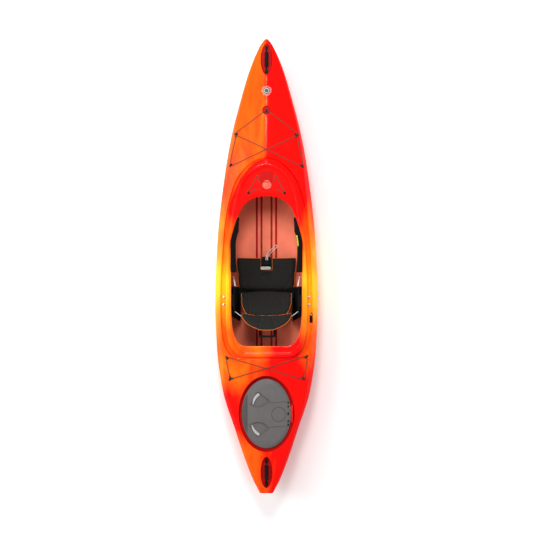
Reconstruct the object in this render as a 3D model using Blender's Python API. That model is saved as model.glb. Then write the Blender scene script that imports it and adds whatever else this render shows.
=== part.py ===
"""Recreational kayak: a one-piece moulded hull with its seat, rigging, hatch, foot braces and skeg.

Metres, +Z up, +Y towards the bow, +X to starboard. The origin is below the middle of the hull,
on the surface it rests on. Every object is one separate piece of the boat, and a moving piece
has its origin on the axis that it turns about or slides along.
"""

import math

import bmesh
import bpy
from mathutils import Matrix, Vector
from mathutils.bvhtree import BVHTree

# Hull
LENGTH = 3.20
BEAM = 0.73
WALL = 0.005
BOW_PLATE_HALF = 0.010
KEEL_FLAT_HALF = 0.030
BOW_NOSE = 0.060
STERN_NOSE = 0.012
STATIONS = 27
END_LIFT = 0.002

# Lines of the hull, each against the share of the half length, from the stern at -1 to the bow at 1
HALF_BREADTH = [
    (-1.0, 0.129), (-0.948, 0.248), (-0.859, 0.406), (-0.726, 0.604), (-0.548, 0.851),
    (-0.371, 0.960), (-0.149, 1.0), (0.118, 0.951), (0.384, 0.822), (0.561, 0.693),
    (0.739, 0.495), (0.872, 0.317), (0.961, 0.149), (1.0, 0.0),
]
KEEL_HEIGHT = [
    (-1.0, 0.100), (-0.95, 0.060), (-0.85, 0.025), (-0.66, 0.004), (-0.56, 0.0),
    (0.56, 0.0), (0.72, 0.006), (0.86, 0.034), (0.94, 0.085), (0.98, 0.160), (1.0, 0.270),
]
SEAM_HEIGHT = [(-1.0, 0.285), (-0.6, 0.250), (-0.15, 0.240), (0.3, 0.248), (0.7, 0.275), (1.0, 0.315)]
FACET_WIDTH = [
    (-1.0, 0.014), (-0.6, 0.034), (-0.35, 0.035), (0.0, 0.030), (0.3, 0.038), (0.52, 0.021), (1.0, 0.004),
]
FACET_RISE = [(-1.0, 0.020), (-0.6, 0.035), (-0.15, 0.058), (0.3, 0.055), (0.6, 0.035), (1.0, 0.012)]
RIDGE_HEIGHT = [
    (-1.0, 0.313), (-0.65, 0.312), (-0.42, 0.318), (0.0, 0.330), (0.48, 0.352), (0.75, 0.354), (1.0, 0.343),
]
DECK_POWER = [(-1.0, 1.3), (-0.8, 1.6), (-0.5, 2.2), (0.2, 2.0), (0.45, 1.3), (1.0, 1.1)]
FULLNESS = [(-1.0, 1.6), (-0.8, 2.0), (-0.5, 2.8), (0.0, 3.2), (0.5, 2.6), (0.8, 1.9), (1.0, 1.5)]
BOTTOM_ANGLES = [90, 66, 43, 21]

# Cockpit, as half outlines from the front middle round starboard to the rear middle
SURROUND_WIDTH = 0.652
SURROUND_FRONT = 0.770
SURROUND_REAR = -0.664
COAMING_WIDTH = 0.576
COAMING_FRONT = 0.733
COAMING_REAR = -0.640
OPENING_WIDTH = 0.511
OPENING_FRONT = 0.497
OPENING_REAR = -0.564
SURROUND_OUTLINE = [
    (0.0, 1.0), (0.22, 0.988), (0.44, 0.953), (0.645, 0.895), (0.77, 0.822), (0.868, 0.731),
    (0.935, 0.603), (0.985, 0.43), (1.0, 0.289), (0.985, 0.16), (0.90, 0.062), (0.68, 0.010),
    (0.40, 0.0), (0.0, 0.0),
]
COAMING_OUTLINE = [
    (0.0, 1.0), (0.22, 0.986), (0.455, 0.952), (0.60, 0.910), (0.72, 0.850), (0.84, 0.745),
    (0.935, 0.60), (0.985, 0.44), (1.0, 0.289), (0.985, 0.155), (0.89, 0.055), (0.68, 0.008),
    (0.40, 0.0), (0.0, 0.0),
]
OPENING_OUTLINE = [
    (0.0, 1.0), (0.24, 0.994), (0.46, 0.975), (0.67, 0.931), (0.78, 0.875), (0.86, 0.825),
    (0.985, 0.71), (1.0, 0.64), (0.99, 0.40), (0.985, 0.22), (0.935, 0.10), (0.80, 0.025),
    (0.60, 0.0), (0.30, 0.0), (0.0, 0.0),
]
SIDE_FROM = 0.30
SIDE_TO = -0.44
SHOULDER = 0.004
GUTTER_DEPTH = 0.012
GUTTER_WALL = 0.006
COAMING_BAND = 0.034
COAMING_NECK = 0.006
LEDGE = 0.004
LIP = 0.012
DASH_DROP = 0.014
COAMING_HEIGHT = [(-0.45, 0.326), (-0.15, 0.334), (0.1, 0.342), (0.46, 0.370)]
FLOOR_GROOVES = (0.0365, 0.0705)
GROOVE_WIDTH = 0.012
GROOVE_DEPTH = 0.0022
GROOVE_FROM = -0.62
GROOVE_TO = 0.90
GROOVE_STEPS = 2

# Space kept between pieces that touch, and between pieces that slide or turn
SEAT_GAP = 0.0004
FIT_GAP = 0.0014
RUN_GAP = 0.0008

# Carry handles
HANDLE_HALF_LENGTH = 0.094
HANDLE_RECESS_HALF_WIDTH = 0.036
HANDLE_RECESS_DEPTH = 0.016
BOW_HANDLE_Y = 1.455
STERN_HANDLE_Y = -1.452
GRIP_HALF_LENGTH = 0.050
GRIP_RADIUS = 0.0125
GRIP_BORE = 0.0070
GRIP_CLEAR = 0.0085
WEBBING_WIDTH = 0.010
WEBBING_THICK = 0.0026
ANCHOR_LENGTH = 0.027
ANCHOR_WIDTH = 0.020
ANCHOR_HEIGHT = 0.011

# Deck rigging
CORD_RADIUS = 0.0027
EYE_BASE_LENGTH = 0.030
EYE_BASE_WIDTH = 0.013
EYE_BASE_THICK = 0.004
EYE_LOOP_RADIUS = 0.0085
EYE_LOOP_RISE = 0.0138
EYE_WIRE = 0.0026
EYE_FEET = 0.0006
EYE_PASS = 0.0085
EYE_HOLE = 0.0098
RIG_SHARES = (0.0, 0.06, 0.2, 0.4, 0.6, 0.8, 0.94, 1.0)
CORD_CLEAR = 0.0012
CORD_OVER = 0.0080
CORD_NEAR = 0.0066
CORD_END = 0.020
BADGE_Y = 1.233
BADGE_RADIUS = 0.024
BADGE_THICK = 0.0025
BOSS_RADIUS = 0.0365
BOSS_RISE = 0.0012
SCOOP_Y = 1.098
SCOOP_RADIUS = 0.028
SCOOP_DEPTH = 0.010

# Dash
DASH_TRAY_FRONT = 0.668
DASH_TRAY_REAR = 0.532
DASH_TRAY_FRONT_HALF = 0.054
DASH_TRAY_REAR_HALF = 0.031

# Hatch
HATCH_Y = -1.039
HATCH_HALF_WIDTH = 0.174
HATCH_HALF_LENGTH = 0.246
HATCH_RECESS = 0.020
HATCH_LAND = 0.018
HATCH_SEAT = 0.281
GASKET_THICK = 0.004
GASKET_OUTER = 0.014
GASKET_INNER = 0.004
COVER_EDGE = 0.012
COVER_CROWN = 0.012
LATCH_X = -0.059
LATCH_FORE_Y = 0.134
LATCH_AFT_Y = -0.144
LATCH_LENGTH = 0.079
LATCH_WIDTH = 0.022
LATCH_THICK = 0.005
LATCH_POCKET = 0.006
SPINDLE_RADIUS = 0.0055
HINGE_HALF_LENGTH = 0.054
HINGE_RADIUS = 0.0055
HINGE_PIN = 0.0028
HINGE_OUT = 0.0075
HINGE_RISE = 0.0150

# Seat
SEAT_FRONT = 0.062
SEAT_REAR = -0.172
SEAT_HALF_FRONT = 0.214
SEAT_HALF_REAR = 0.196
SEAT_SPLIT = -0.052
CUSHION_BASE = 0.064
CUSHION_THICK = 0.030
CUSHION_CROWN = 0.010
NOTCH_HALF = 0.044
NOTCH_DEPTH = 0.088
PAN_THICK = 0.008
LIFTER_THICK = 0.007
RUNNER_X = 0.120
RUNNER_WIDTH = 0.030
BACK_PIVOT_Y = -0.186
BACK_PIVOT_Z = 0.098
BACK_ANGLE = math.radians(41.0)
BACK_LENGTH = 0.345
BACK_SPLIT = 0.218
BACK_PAD_THICK = 0.024
BACK_FRAME_THICK = 0.006
BACK_HALF_LOW = 0.176
BACK_HALF_TOP = 0.120
SIDE_PANEL_X = 0.226
SIDE_PANEL_THICK = 0.008
SIDE_PANEL_FRONT = -0.146
SIDE_PANEL_REAR = -0.340
SCREW_X = 0.3025
SCREW_Y = (-0.217, -0.270)
SCREW_HEAD = 0.0105
SCREW_SHANK = 0.003
SCREW_POCKET_HALF = 0.016
SCREW_POCKET_LONG = 0.068
THIGH_FRONT = 0.345
THIGH_REAR = -0.042
THIGH_WIDTH = 0.040
THIGH_THICK = 0.016

# Foot braces
RAIL_FRONT = 0.94
RAIL_REAR = 0.54
RAIL_HEIGHT = 0.125
RAIL_WIDTH = 0.026
RAIL_THICK = 0.008
RAIL_STANDOFF = 0.012
PEDAL_START = 0.66
PEDAL_REACH = 0.095
PEDAL_HEIGHT = 0.120
PEDAL_DROP = 0.040

# Bulkhead and foam
BULKHEAD_Y = -0.735
BULKHEAD_THICK = 0.045
PILLAR_FRONT = 1.36
PILLAR_REAR = 1.02
PILLAR_HALF = 0.026

# Skeg and its control
SKEG_FRONT = -1.235
SKEG_REAR = -1.505
SKEG_SLOT_HALF = 0.0065
SKEG_BOX_WALL = 0.003
SKEG_BOX_TOP = 0.150
SKEG_BLADE_THICK = 0.006
SKEG_PIVOT_Y = -1.258
SKEG_PIVOT_Z = 0.052
SKEG_PIN_RADIUS = 0.004
CLEAT_X = 0.3150
CLEAT_FRONT = -0.348
CLEAT_REAR = -0.397
CLEAT_WIDTH = 0.018
CLEAT_HEIGHT = 0.011
CLEAT_BASE = 0.0035
CLEAT_GROOVE = 0.0058
CONTROL_HALF = 0.014
CONTROL_LONG = 0.048
CONTROL_Y = -0.372
KNOB_Y = -0.3425
KNOB_RADIUS = 0.0050
FAIRLEAD_PLACE = (0.3195, -0.3325)
FAIRLEAD_FLANGE = 0.0055
FAIRLEAD_STEM = 0.0036
FAIRLEAD_BORE = 0.0026
SKEG_LINE = 0.0018
SKEG_LINE_END = (0.0125, -1.262, 0.118)
DRAIN_HEIGHT = 0.215
DRAIN_RADIUS = 0.0155
DRAIN_DEPTH = 0.008
DRAIN_STEM = 0.0080

# Deck fittings: place across and along the boat at RIGGING_BEAM, and the way the loop faces
RIGGING_BEAM = 0.73
BOW_EYES = {
    "bow_eye_middle": (0.0, 1.093, (0.0, -1.0)),
    "bow_eye_port_front": (-0.214, 0.934, (1.0, 0.1)),
    "bow_eye_starboard_front": (0.212, 0.929, (-1.0, 0.1)),
    "bow_eye_port_rear": (-0.252, 0.714, (0.6, 0.8)),
    "bow_eye_starboard_rear": (0.251, 0.708, (-0.6, 0.8)),
}
STERN_EYES = {
    "stern_eye_port_front": (-0.279, -0.644, (0.66, -0.75)),
    "stern_eye_starboard_front": (0.281, -0.637, (-0.65, -0.76)),
    "stern_eye_port_rear": (-0.258, -0.795, (0.54, 0.84)),
    "stern_eye_starboard_rear": (0.260, -0.790, (-0.55, 0.83)),
}

# Eyes that each deck cord runs through, in order
BOW_ROUTE = [
    "bow_eye_port_front", "bow_eye_port_rear", "bow_eye_starboard_front", "bow_eye_middle",
    "bow_eye_port_front", "bow_eye_starboard_rear", "bow_eye_starboard_front",
]
STERN_ROUTE = [
    "stern_eye_port_rear", "stern_eye_port_front", "stern_eye_starboard_rear",
    "stern_eye_starboard_front", "stern_eye_port_rear",
]

# Hatch latches: place along the boat, closed angle and open angle
LATCHES = {
    "hatch_latch_front": (LATCH_FORE_Y, math.radians(-118), math.radians(-38)),
    "hatch_latch_rear": (LATCH_AFT_Y, math.radians(124), math.radians(39)),
}

# Seat seams, and how the backrest is held
SEAT_SEAM_FROM = -0.030
SEAT_SEAM_SLOPE = 0.42
BACK_WRAP = 0.030
SLIDE_GAP = 0.0012
BACK_PIN = 0.0055
PAN_EAR_X = SEAT_HALF_REAR - 0.003

# Pull cord of the leg lifter, out along the floor and back
LIFTER_ROUTE = [
    (-0.004, 0.0445, 0.086), (-0.003, 0.060, 0.086), (0.001, 0.078, 0.074), (0.008, 0.094, 0.050),
    (0.018, 0.107, 0.026), (0.029, 0.118, 0.0135), (0.041, 0.129, 0.0105), (0.053, 0.141, 0.0105),
    (0.064, 0.152, 0.0105), (0.072, 0.156, 0.0108), (0.077, 0.151, 0.0110), (0.074, 0.143, 0.0110),
    (0.064, 0.131, 0.0110), (0.052, 0.119, 0.0115), (0.040, 0.108, 0.0150), (0.029, 0.098, 0.0280),
    (0.018, 0.088, 0.0500), (0.011, 0.076, 0.0720), (0.008, 0.060, 0.0840), (0.0075, 0.0445, 0.086),
]
LIFTER_CORD = 0.0024

# Side view of the skeg blade from its pivot, aft and up
SKEG_PROFILE = [
    (-0.012, -0.006), (-0.006, 0.012), (0.040, 0.052), (0.130, 0.076), (0.205, 0.072), (0.225, 0.052),
    (0.212, 0.034), (0.130, 0.012), (0.050, -0.004), (0.004, -0.014),
]

COLOURS = {
    "hull": (0.86, 0.13, 0.02, 0.32, 0.0),
    "black": (0.02, 0.02, 0.022, 0.55, 0.0),
    "rubber": (0.015, 0.015, 0.016, 0.8, 0.0),
    "cord": (0.23, 0.15, 0.11, 0.85, 0.0),
    "steel": (0.72, 0.72, 0.70, 0.28, 1.0),
    "fabric": (0.045, 0.05, 0.052, 0.9, 0.0),
    "pad": (0.018, 0.018, 0.02, 0.95, 0.0),
    "hatch": (0.13, 0.13, 0.135, 0.6, 0.0),
    "latch": (0.23, 0.23, 0.235, 0.5, 0.0),
    "foam": (0.09, 0.09, 0.095, 0.95, 0.0),
    "pale": (0.62, 0.61, 0.58, 0.7, 0.0),
    "badge": (0.55, 0.55, 0.54, 0.35, 0.0),
}


def clear_scene():
    for item in list(bpy.data.objects):
        bpy.data.objects.remove(item, do_unlink=True)


def curve_at(table, where):
    """Smooth value of a table at a place, with no overshoot between its rows."""
    if where <= table[0][0]:
        return table[0][1]
    if where >= table[-1][0]:
        return table[-1][1]
    spans = [(b[1] - a[1]) / (b[0] - a[0]) for a, b in zip(table, table[1:])]

    def slope(index):
        if index == 0 or index == len(table) - 1:
            return spans[min(index, len(spans) - 1)]
        before, after = spans[index - 1], spans[index]
        if before * after <= 0.0:
            return 0.0
        return 2.0 * before * after / (before + after)

    for index in range(len(spans)):
        low, high = table[index], table[index + 1]
        if where <= high[0]:
            width = high[0] - low[0]
            s = (where - low[0]) / width
            rise = 2 * s ** 3 - 3 * s ** 2 + 1
            bend = s ** 3 - 2 * s ** 2 + s
            tail = s ** 3 - s ** 2
            return (rise * low[1] + bend * width * slope(index)
                    + (1 - rise) * high[1] + tail * width * slope(index + 1))
    return table[-1][1]


def share(y):
    return y / (LENGTH / 2)


def half_breadth(y):
    return max(BEAM / 2 * curve_at(HALF_BREADTH, share(y)), BOW_PLATE_HALF)


def facet_x(y):
    return half_breadth(y) - min(curve_at(FACET_WIDTH, share(y)), 0.5 * half_breadth(y))


def facet_z(y):
    return curve_at(SEAM_HEIGHT, share(y)) + curve_at(FACET_RISE, share(y))


def deck_z(x, y):
    """Height of the plain deck, without its cockpit, boss and recesses."""
    part = min(abs(x) / facet_x(y), 1.0)
    low = facet_z(y)
    return low + (curve_at(RIDGE_HEIGHT, share(y)) - low) * (1.0 - part ** curve_at(DECK_POWER, share(y)))


def coaming_z(y):
    return curve_at(COAMING_HEIGHT, share(y))


def smooth_path(points, steps=24):
    """Points along a smooth curve through hand-placed ones, ends included."""
    pts = [Vector(p) for p in points]
    ahead = [pts[0] * 2 - pts[1]] + pts + [pts[-1] * 2 - pts[-2]]
    path = []
    for i in range(len(pts) - 1):
        a, b, c, d = ahead[i:i + 4]
        for j in range(steps):
            s = j / steps
            path.append(0.5 * ((2 * b) + (c - a) * s + (2 * a - 5 * b + 4 * c - d) * s ** 2
                               + (3 * b - a - 3 * c + d) * s ** 3))
    path.append(pts[-1])
    return path


def along(path, shares):
    """Points at the given shares of a path's length."""
    marks = [0.0]
    for a, b in zip(path, path[1:]):
        marks.append(marks[-1] + (b - a).length)
    found = []
    for part in shares:
        want = part * marks[-1]
        index = 1
        while index < len(marks) - 1 and marks[index] < want:
            index += 1
        span = max(marks[index] - marks[index - 1], 1e-9)
        found.append(path[index - 1].lerp(path[index], (want - marks[index - 1]) / span))
    return found


def outline_path(outline, width, front, rear):
    points = [(x * width / 2, rear + part * (front - rear), 0.0) for x, part in outline]
    path = smooth_path(points)
    for point in path:
        point.x = max(point.x, 0.0)
    return path


def share_at_y(path, y):
    total = sum((b - a).length for a, b in zip(path, path[1:]))
    done = 0.0
    for a, b in zip(path, path[1:]):
        if b.y <= y and b.x > 0.2 * a.x:
            return done / total
        done += (b - a).length
    return 1.0


def station_ys(front, rear):
    """Places of the hull's stations from bow to stern, closer together towards the ends."""
    ys = []
    for index in range(STATIONS):
        part = index / (STATIONS - 1)
        mixed = 0.5 * (1 - math.cos(math.pi * part)) * 0.5 + 0.5 * part
        ys.append(front + (rear - front) * mixed)
    return ys


def column_points(path, ys):
    """One point of a cockpit outline for each column of the hull, middle columns included."""
    count = len(ys)
    first = sum(1 for y in ys if y > SIDE_FROM)
    last = sum(1 for y in ys if y > SIDE_TO)
    share_first = share_at_y(path, SIDE_FROM)
    share_last = share_at_y(path, SIDE_TO)
    shares = []
    for index in range(count + 2):
        if index <= first:
            shares.append(share_first * index / first)
        elif index <= last:
            shares.append(share_first + (share_last - share_first) * (index - first) / (last - first))
        else:
            shares.append(share_last + (1 - share_last) * (index - last) / (count + 1 - last))
    return along(path, shares)


def moved_out(points, distance):
    """A half outline moved outwards, keeping its two ends on the middle line."""
    result = []
    for index, point in enumerate(points):
        before = points[max(index - 1, 0)]
        after = points[min(index + 1, len(points) - 1)]
        run = after - before
        normal = Vector((-run.y, run.x, 0.0)).normalized()
        if index == 0:
            normal = Vector((0.0, 1.0, 0.0))
        if index == len(points) - 1:
            normal = Vector((0.0, -1.0, 0.0))
        result.append(point + normal * distance)
    return result


SURROUND_PATH = outline_path(SURROUND_OUTLINE, SURROUND_WIDTH, SURROUND_FRONT, SURROUND_REAR)
COAMING_PATH = outline_path(COAMING_OUTLINE, COAMING_WIDTH, COAMING_FRONT, COAMING_REAR)
OPENING_PATH = outline_path(OPENING_OUTLINE, OPENING_WIDTH, OPENING_FRONT, OPENING_REAR)


def outline_x(path, y):
    """Half width of a cockpit outline at a place along the boat, or a negative number beyond it."""
    widest = -1.0
    for a, b in zip(path, path[1:]):
        if b.y <= y <= a.y and a.y > b.y:
            widest = max(widest, a.lerp(b, (a.y - y) / (a.y - b.y)).x)
    return widest


def hull_rings(inset):
    """Half rings from the keel up the side, over the deck and into the cockpit.

    With no inset they are the outer skin, and with the wall as inset the inner one.
    """
    nose = BOW_NOSE + inset if inset else 0.0
    heel = STERN_NOSE + inset if inset else 0.0
    ys = station_ys(LENGTH / 2 - nose, -LENGTH / 2 + heel)
    columns = [0.0] + [half_breadth(y) - inset for y in ys] + [0.0]
    places = [ys[0]] + ys + [ys[-1]]
    rings = []

    keel = []
    for x, y in zip(columns, places):
        lift = 0.0 if x else END_LIFT
        bilge = x * math.sin(math.radians(BOTTOM_ANGLES[-1])) ** (2.0 / curve_at(FULLNESS, share(y)))
        keel.append(Vector((min(KEEL_FLAT_HALF, 0.7 * bilge), y,
                            curve_at(KEEL_HEIGHT, share(y)) + inset + lift)))
    rings.append(keel)
    for angle in reversed(BOTTOM_ANGLES):
        ring = []
        for x, y in zip(columns, places):
            power = 2.0 / curve_at(FULLNESS, share(y))
            seam = curve_at(SEAM_HEIGHT, share(y))
            low = curve_at(KEEL_HEIGHT, share(y)) + inset
            wide = math.sin(math.radians(angle)) ** power
            high = math.cos(math.radians(angle)) ** power if angle < 90 else 0.0
            ring.append(Vector((x * wide, y, seam - (seam - low) * high)))
        rings.append(ring)

    surround = column_points(SURROUND_PATH, ys)
    coaming = column_points(COAMING_PATH, ys)
    opening = column_points(OPENING_PATH, ys)
    edge = moved_out(surround, inset)
    facet = []
    for x, y in zip(columns, places):
        reach = max(facet_x(y) - inset, outline_x(SURROUND_PATH, y) + inset + SHOULDER)
        facet.append(Vector((min(reach, x), y, facet_z(y) - 0.7 * inset)))
    rings.append(facet)

    for part in (0.5,) if inset else (0.33, 0.67):
        ring = []
        for a, b in zip(facet, edge):
            point = a.lerp(b, part)
            point.z = deck_z(point.x, point.y) - inset
            ring.append(point)
        rings.append(ring)
    rings.append([Vector((p.x, p.y, deck_z(p.x, p.y) - inset)) for p in edge])
    floor = [deck_z(p.x, p.y) - GUTTER_DEPTH for p in surround]
    gutter = moved_out(surround, inset - GUTTER_WALL)
    rings.append([Vector((p.x, p.y, z - inset)) for p, z in zip(gutter, floor)])

    inner_edge, neck = [], []
    for c, b in zip(coaming, opening):
        span = (b - c).length
        reach = min(COAMING_BAND, span - LEDGE)
        inner = c.lerp(b, reach / span)
        inner_edge.append(inner)
        neck.append(inner.lerp(c, COAMING_NECK / reach))
    tops = [coaming_z(c.y) for c in coaming]
    well = moved_out(opening, -0.003)

    def ring_at(points, heights):
        rings.append([Vector((p.x, p.y, z)) for p, z in zip(points, heights)])

    dash = [z - DASH_DROP for z in tops]
    if inset:
        ring_at(inner_edge, [z - inset for z in floor])
        ring_at([a.lerp(b, 0.5) for a, b in zip(inner_edge, opening)], [z - inset for z in dash])
        ring_at(well, [z - inset for z in dash])
        return rings
    ring_at(neck, floor)
    ring_at(neck, [z - LIP for z in tops])
    ring_at(coaming, [z - 0.65 * LIP for z in tops])
    ring_at([c.lerp(a, 0.28) for c, a in zip(coaming, inner_edge)], tops)
    ring_at([c.lerp(a, 0.78) for c, a in zip(coaming, inner_edge)], [z - 0.001 for z in tops])
    ring_at(inner_edge, [z - 0.5 * LIP for z in tops])
    ring_at(inner_edge, dash)
    ring_at(well, dash)
    return rings


def solid_from_rings(name, rings):
    """Closed solid: whole rings bridged one to the next, and the first and last filled across."""
    bm = bmesh.new()
    whole = []
    for ring in rings:
        right = [bm.verts.new(p) for p in ring]
        left = [bm.verts.new((-p.x, p.y, p.z)) for p in ring[1:-1]]
        whole.append((right, [right[0]] + left + [right[-1]]))
    for (right_a, left_a), (right_b, left_b) in zip(whole, whole[1:]):
        for a, b in ((right_a, right_b), (left_b, left_a)):
            for i in range(len(a) - 1):
                bm.faces.new((a[i], a[i + 1], b[i + 1], b[i]))
    for right, left in (whole[0], whole[-1]):
        for i in range(len(right) - 1):
            corners = []
            for vert in (right[i], right[i + 1], left[i + 1], left[i]):
                if vert not in corners:
                    corners.append(vert)
            bm.faces.new(corners)
    bmesh.ops.remove_doubles(bm, verts=bm.verts, dist=1e-6)
    bmesh.ops.triangulate(bm, faces=bm.faces)
    bmesh.ops.recalc_face_normals(bm, faces=bm.faces)
    return add_object(name, bm)


def add_object(name, bm, colour=None, origin=(0.0, 0.0, 0.0)):
    """Finishes a bmesh as an object whose origin is at the given place."""
    place = Vector(origin)
    bmesh.ops.translate(bm, verts=bm.verts, vec=-place)
    mesh = bpy.data.meshes.new(name)
    bm.to_mesh(mesh)
    bm.free()
    mesh.shade_smooth()
    mesh.set_sharp_from_angle(angle=math.radians(35))
    item = bpy.data.objects.new(name, mesh)
    item.location = place
    bpy.context.scene.collection.objects.link(item)
    if colour:
        item.data.materials.append(material(name, colour))
    return item


def material(name, colour):
    red, green, blue, roughness, metallic = COLOURS[colour]
    made = bpy.data.materials.new(name + "_finish")
    made.use_nodes = True
    shader = made.node_tree.nodes["Principled BSDF"]
    shader.inputs["Base Color"].default_value = (red, green, blue, 1.0)
    shader.inputs["Roughness"].default_value = roughness
    shader.inputs["Metallic"].default_value = metallic
    made.diffuse_color = (red, green, blue, 1.0)
    return made


def cutter(item):
    item.hide_render = True
    item.display_type = "WIRE"
    return item


def boolean(item, other, operation="DIFFERENCE"):
    step = item.modifiers.new(other.name, "BOOLEAN")
    step.operation = operation
    step.solver = "EXACT"
    step.object = cutter(other)
    return item


def prism_mesh(points, low, high):
    """Upright prism over a plan outline."""
    bm = bmesh.new()
    base = bm.faces.new([bm.verts.new((p[0], p[1], low)) for p in points])
    top = bmesh.ops.extrude_face_region(bm, geom=[base])["geom"]
    moved = [v for v in top if isinstance(v, bmesh.types.BMVert)]
    bmesh.ops.translate(bm, verts=moved, vec=(0.0, 0.0, high - low))
    bmesh.ops.recalc_face_normals(bm, faces=bm.faces)
    return bm


def oval(half_x, half_y, centre=(0.0, 0.0), count=40):
    return [(centre[0] + half_x * math.cos(2 * math.pi * i / count),
             centre[1] + half_y * math.sin(2 * math.pi * i / count)) for i in range(count)]


def stadium(half_x, half_y, centre=(0.0, 0.0), arc=8):
    """Plan outline with straight sides and round ends, long along Y."""
    points = []
    for end, start in ((1, 0.0), (-1, math.pi)):
        for i in range(arc + 1):
            angle = start + math.pi * i / arc
            points.append((centre[0] + half_x * math.cos(angle),
                           centre[1] + end * (half_y - half_x) + half_x * math.sin(angle)))
    return points


def box_mesh(low, high):
    bm = bmesh.new()
    size = [b - a for a, b in zip(low, high)]
    middle = [(a + b) / 2 for a, b in zip(low, high)]
    bmesh.ops.create_cube(bm, size=1.0, matrix=Matrix.Translation(middle) @ Matrix.Diagonal((*size, 1.0)))
    return bm


def rod_mesh(start, end, radius, end_radius=None, sides=20):
    """Round rod or cone between two points."""
    start, end = Vector(start), Vector(end)
    run = end - start
    bm = bmesh.new()
    turn = run.to_track_quat("Z", "Y").to_matrix().to_4x4()
    bmesh.ops.create_cone(bm, cap_ends=True, segments=sides, radius1=radius,
                          radius2=radius if end_radius is None else end_radius, depth=run.length,
                          matrix=Matrix.Translation((start + end) / 2) @ turn)
    return bm


def joined(*meshes):
    """Several bmeshes in one, still as separate bodies."""
    whole = meshes[0]
    for other in meshes[1:]:
        carried = bpy.data.meshes.new("carried")
        other.to_mesh(carried)
        other.free()
        whole.from_mesh(carried)
        bpy.data.meshes.remove(carried)
    return whole


def bevelled(bm, width, segments=2):
    bmesh.ops.bevel(bm, geom=bm.edges[:], offset=width, segments=segments, profile=0.5,
                    affect="EDGES", material=-1, clamp_overlap=True)
    return bm


def union_of(name, colour, meshes, origin=(0.0, 0.0, 0.0)):
    """One body made of several overlapping shapes."""
    item = add_object(name, meshes[0], colour, origin)
    for index, bm in enumerate(meshes[1:]):
        boolean(item, add_object(f"{name}_shape_{index + 1}", bm), "UNION")
    return item


def strip_mesh(sections):
    """Closed bar through matching cross-sections, each a list of points."""
    bm = bmesh.new()
    rows = [[bm.verts.new(p) for p in section] for section in sections]
    for a, b in zip(rows, rows[1:]):
        for i in range(len(a)):
            j = (i + 1) % len(a)
            bm.faces.new((a[i], a[j], b[j], b[i]))
    bm.faces.new(rows[0])
    bm.faces.new(rows[-1])
    bm.normal_update()
    bmesh.ops.triangulate(bm, faces=bm.faces, ngon_method="EAR_CLIP")
    bmesh.ops.recalc_face_normals(bm, faces=bm.faces)
    return bm


def cord_object(name, points, radius, colour, resolution=2, closed=False):
    """A cord as a bevelled poly curve through points read from a smooth route."""
    curve = bpy.data.curves.new(name, "CURVE")
    curve.dimensions = "3D"
    curve.bevel_depth = radius
    curve.bevel_resolution = resolution
    curve.use_fill_caps = not closed
    spline = curve.splines.new("POLY")
    spline.points.add(len(points) - 1)
    for slot, point in zip(spline.points, points):
        slot.co = (*point, 1.0)
    spline.use_cyclic_u = closed
    item = bpy.data.objects.new(name, curve)
    bpy.context.scene.collection.objects.link(item)
    item.data.materials.append(material(name, colour))
    return item


class Surface:
    """The finished hull, asked for the height of its deck, floor or sides."""

    def __init__(self, item):
        bpy.context.view_layer.update()
        graph = bpy.context.evaluated_depsgraph_get()
        self.tree = BVHTree.FromObject(item, graph)

    def down(self, x, y, start=1.0):
        return self.tree.ray_cast(Vector((x, y, start)), Vector((0.0, 0.0, -1.0)))[:2]

    def up(self, x, y, start):
        return self.tree.ray_cast(Vector((x, y, start)), Vector((0.0, 0.0, 1.0)))[:2]

    def side(self, direction, y, z):
        return self.tree.ray_cast(Vector((0.0, y, z)), Vector((direction, 0.0, 0.0)))[:2]


def handle_seat(y):
    """Height of a handle's recess floor."""
    return min(deck_z(0.0, y - HANDLE_HALF_LENGTH), deck_z(0.0, y + HANDLE_HALF_LENGTH)) - HANDLE_RECESS_DEPTH


def recess_list(grow=0.0):
    """Flat-floored recesses of the moulding: plan outline, grown all round, and floor height."""
    found = []
    for y in (BOW_HANDLE_Y, STERN_HANDLE_Y):
        half = HANDLE_HALF_LENGTH + 0.004 + grow
        found.append((stadium(HANDLE_RECESS_HALF_WIDTH + grow, half, (0.0, y)), handle_seat(y)))
    found.append((oval(SCOOP_RADIUS + grow, SCOOP_RADIUS + grow, (0.0, SCOOP_Y), 24),
                  deck_z(0.0, SCOOP_Y) - SCOOP_DEPTH))
    wide = HATCH_HALF_WIDTH + HATCH_RECESS + grow
    long = HATCH_HALF_LENGTH + HATCH_RECESS + grow
    found.append((oval(wide, long, (0.0, HATCH_Y), 44), HATCH_SEAT))
    return found


def pocket_list():
    """Small flat-floored pockets beside the cockpit, for the seat screws and the skeg control."""
    middle = sum(SCREW_Y) / 2
    screw_floor = deck_z(SURROUND_WIDTH / 2, middle) - GUTTER_DEPTH - 0.001
    control_floor = min(deck_z(outline_x(SURROUND_PATH, y), y) for y in (
        CONTROL_Y - CONTROL_LONG, CONTROL_Y, CONTROL_Y + CONTROL_LONG)) - GUTTER_DEPTH - 0.001
    found = [(SCREW_POCKET_HALF, SCREW_POCKET_LONG, (side * SCREW_X, middle), screw_floor) for side in (-1,
                                                                                                        1)]
    found.append((CONTROL_HALF, CONTROL_LONG, (CLEAT_X, CONTROL_Y), control_floor))
    return found


def make_cavity(name, inset):
    """The space inside the hull, or the same space drawn in a little further."""
    cavity = cutter(solid_from_rings(name, hull_rings(inset)))
    grown = [prism_mesh(outline, floor - inset, 0.6) for outline, floor in recess_list(inset)]
    for half, long, centre, floor in pocket_list():
        grown.append(prism_mesh(stadium(half + inset, long + inset, centre), floor - inset, 0.6))
    boolean(cavity, add_object(name + "_recesses", joined(*grown)))
    if inset == WALL:
        boolean(cavity, add_object(name + "_grooves", groove_mesh()), "UNION")
    return cavity


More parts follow.
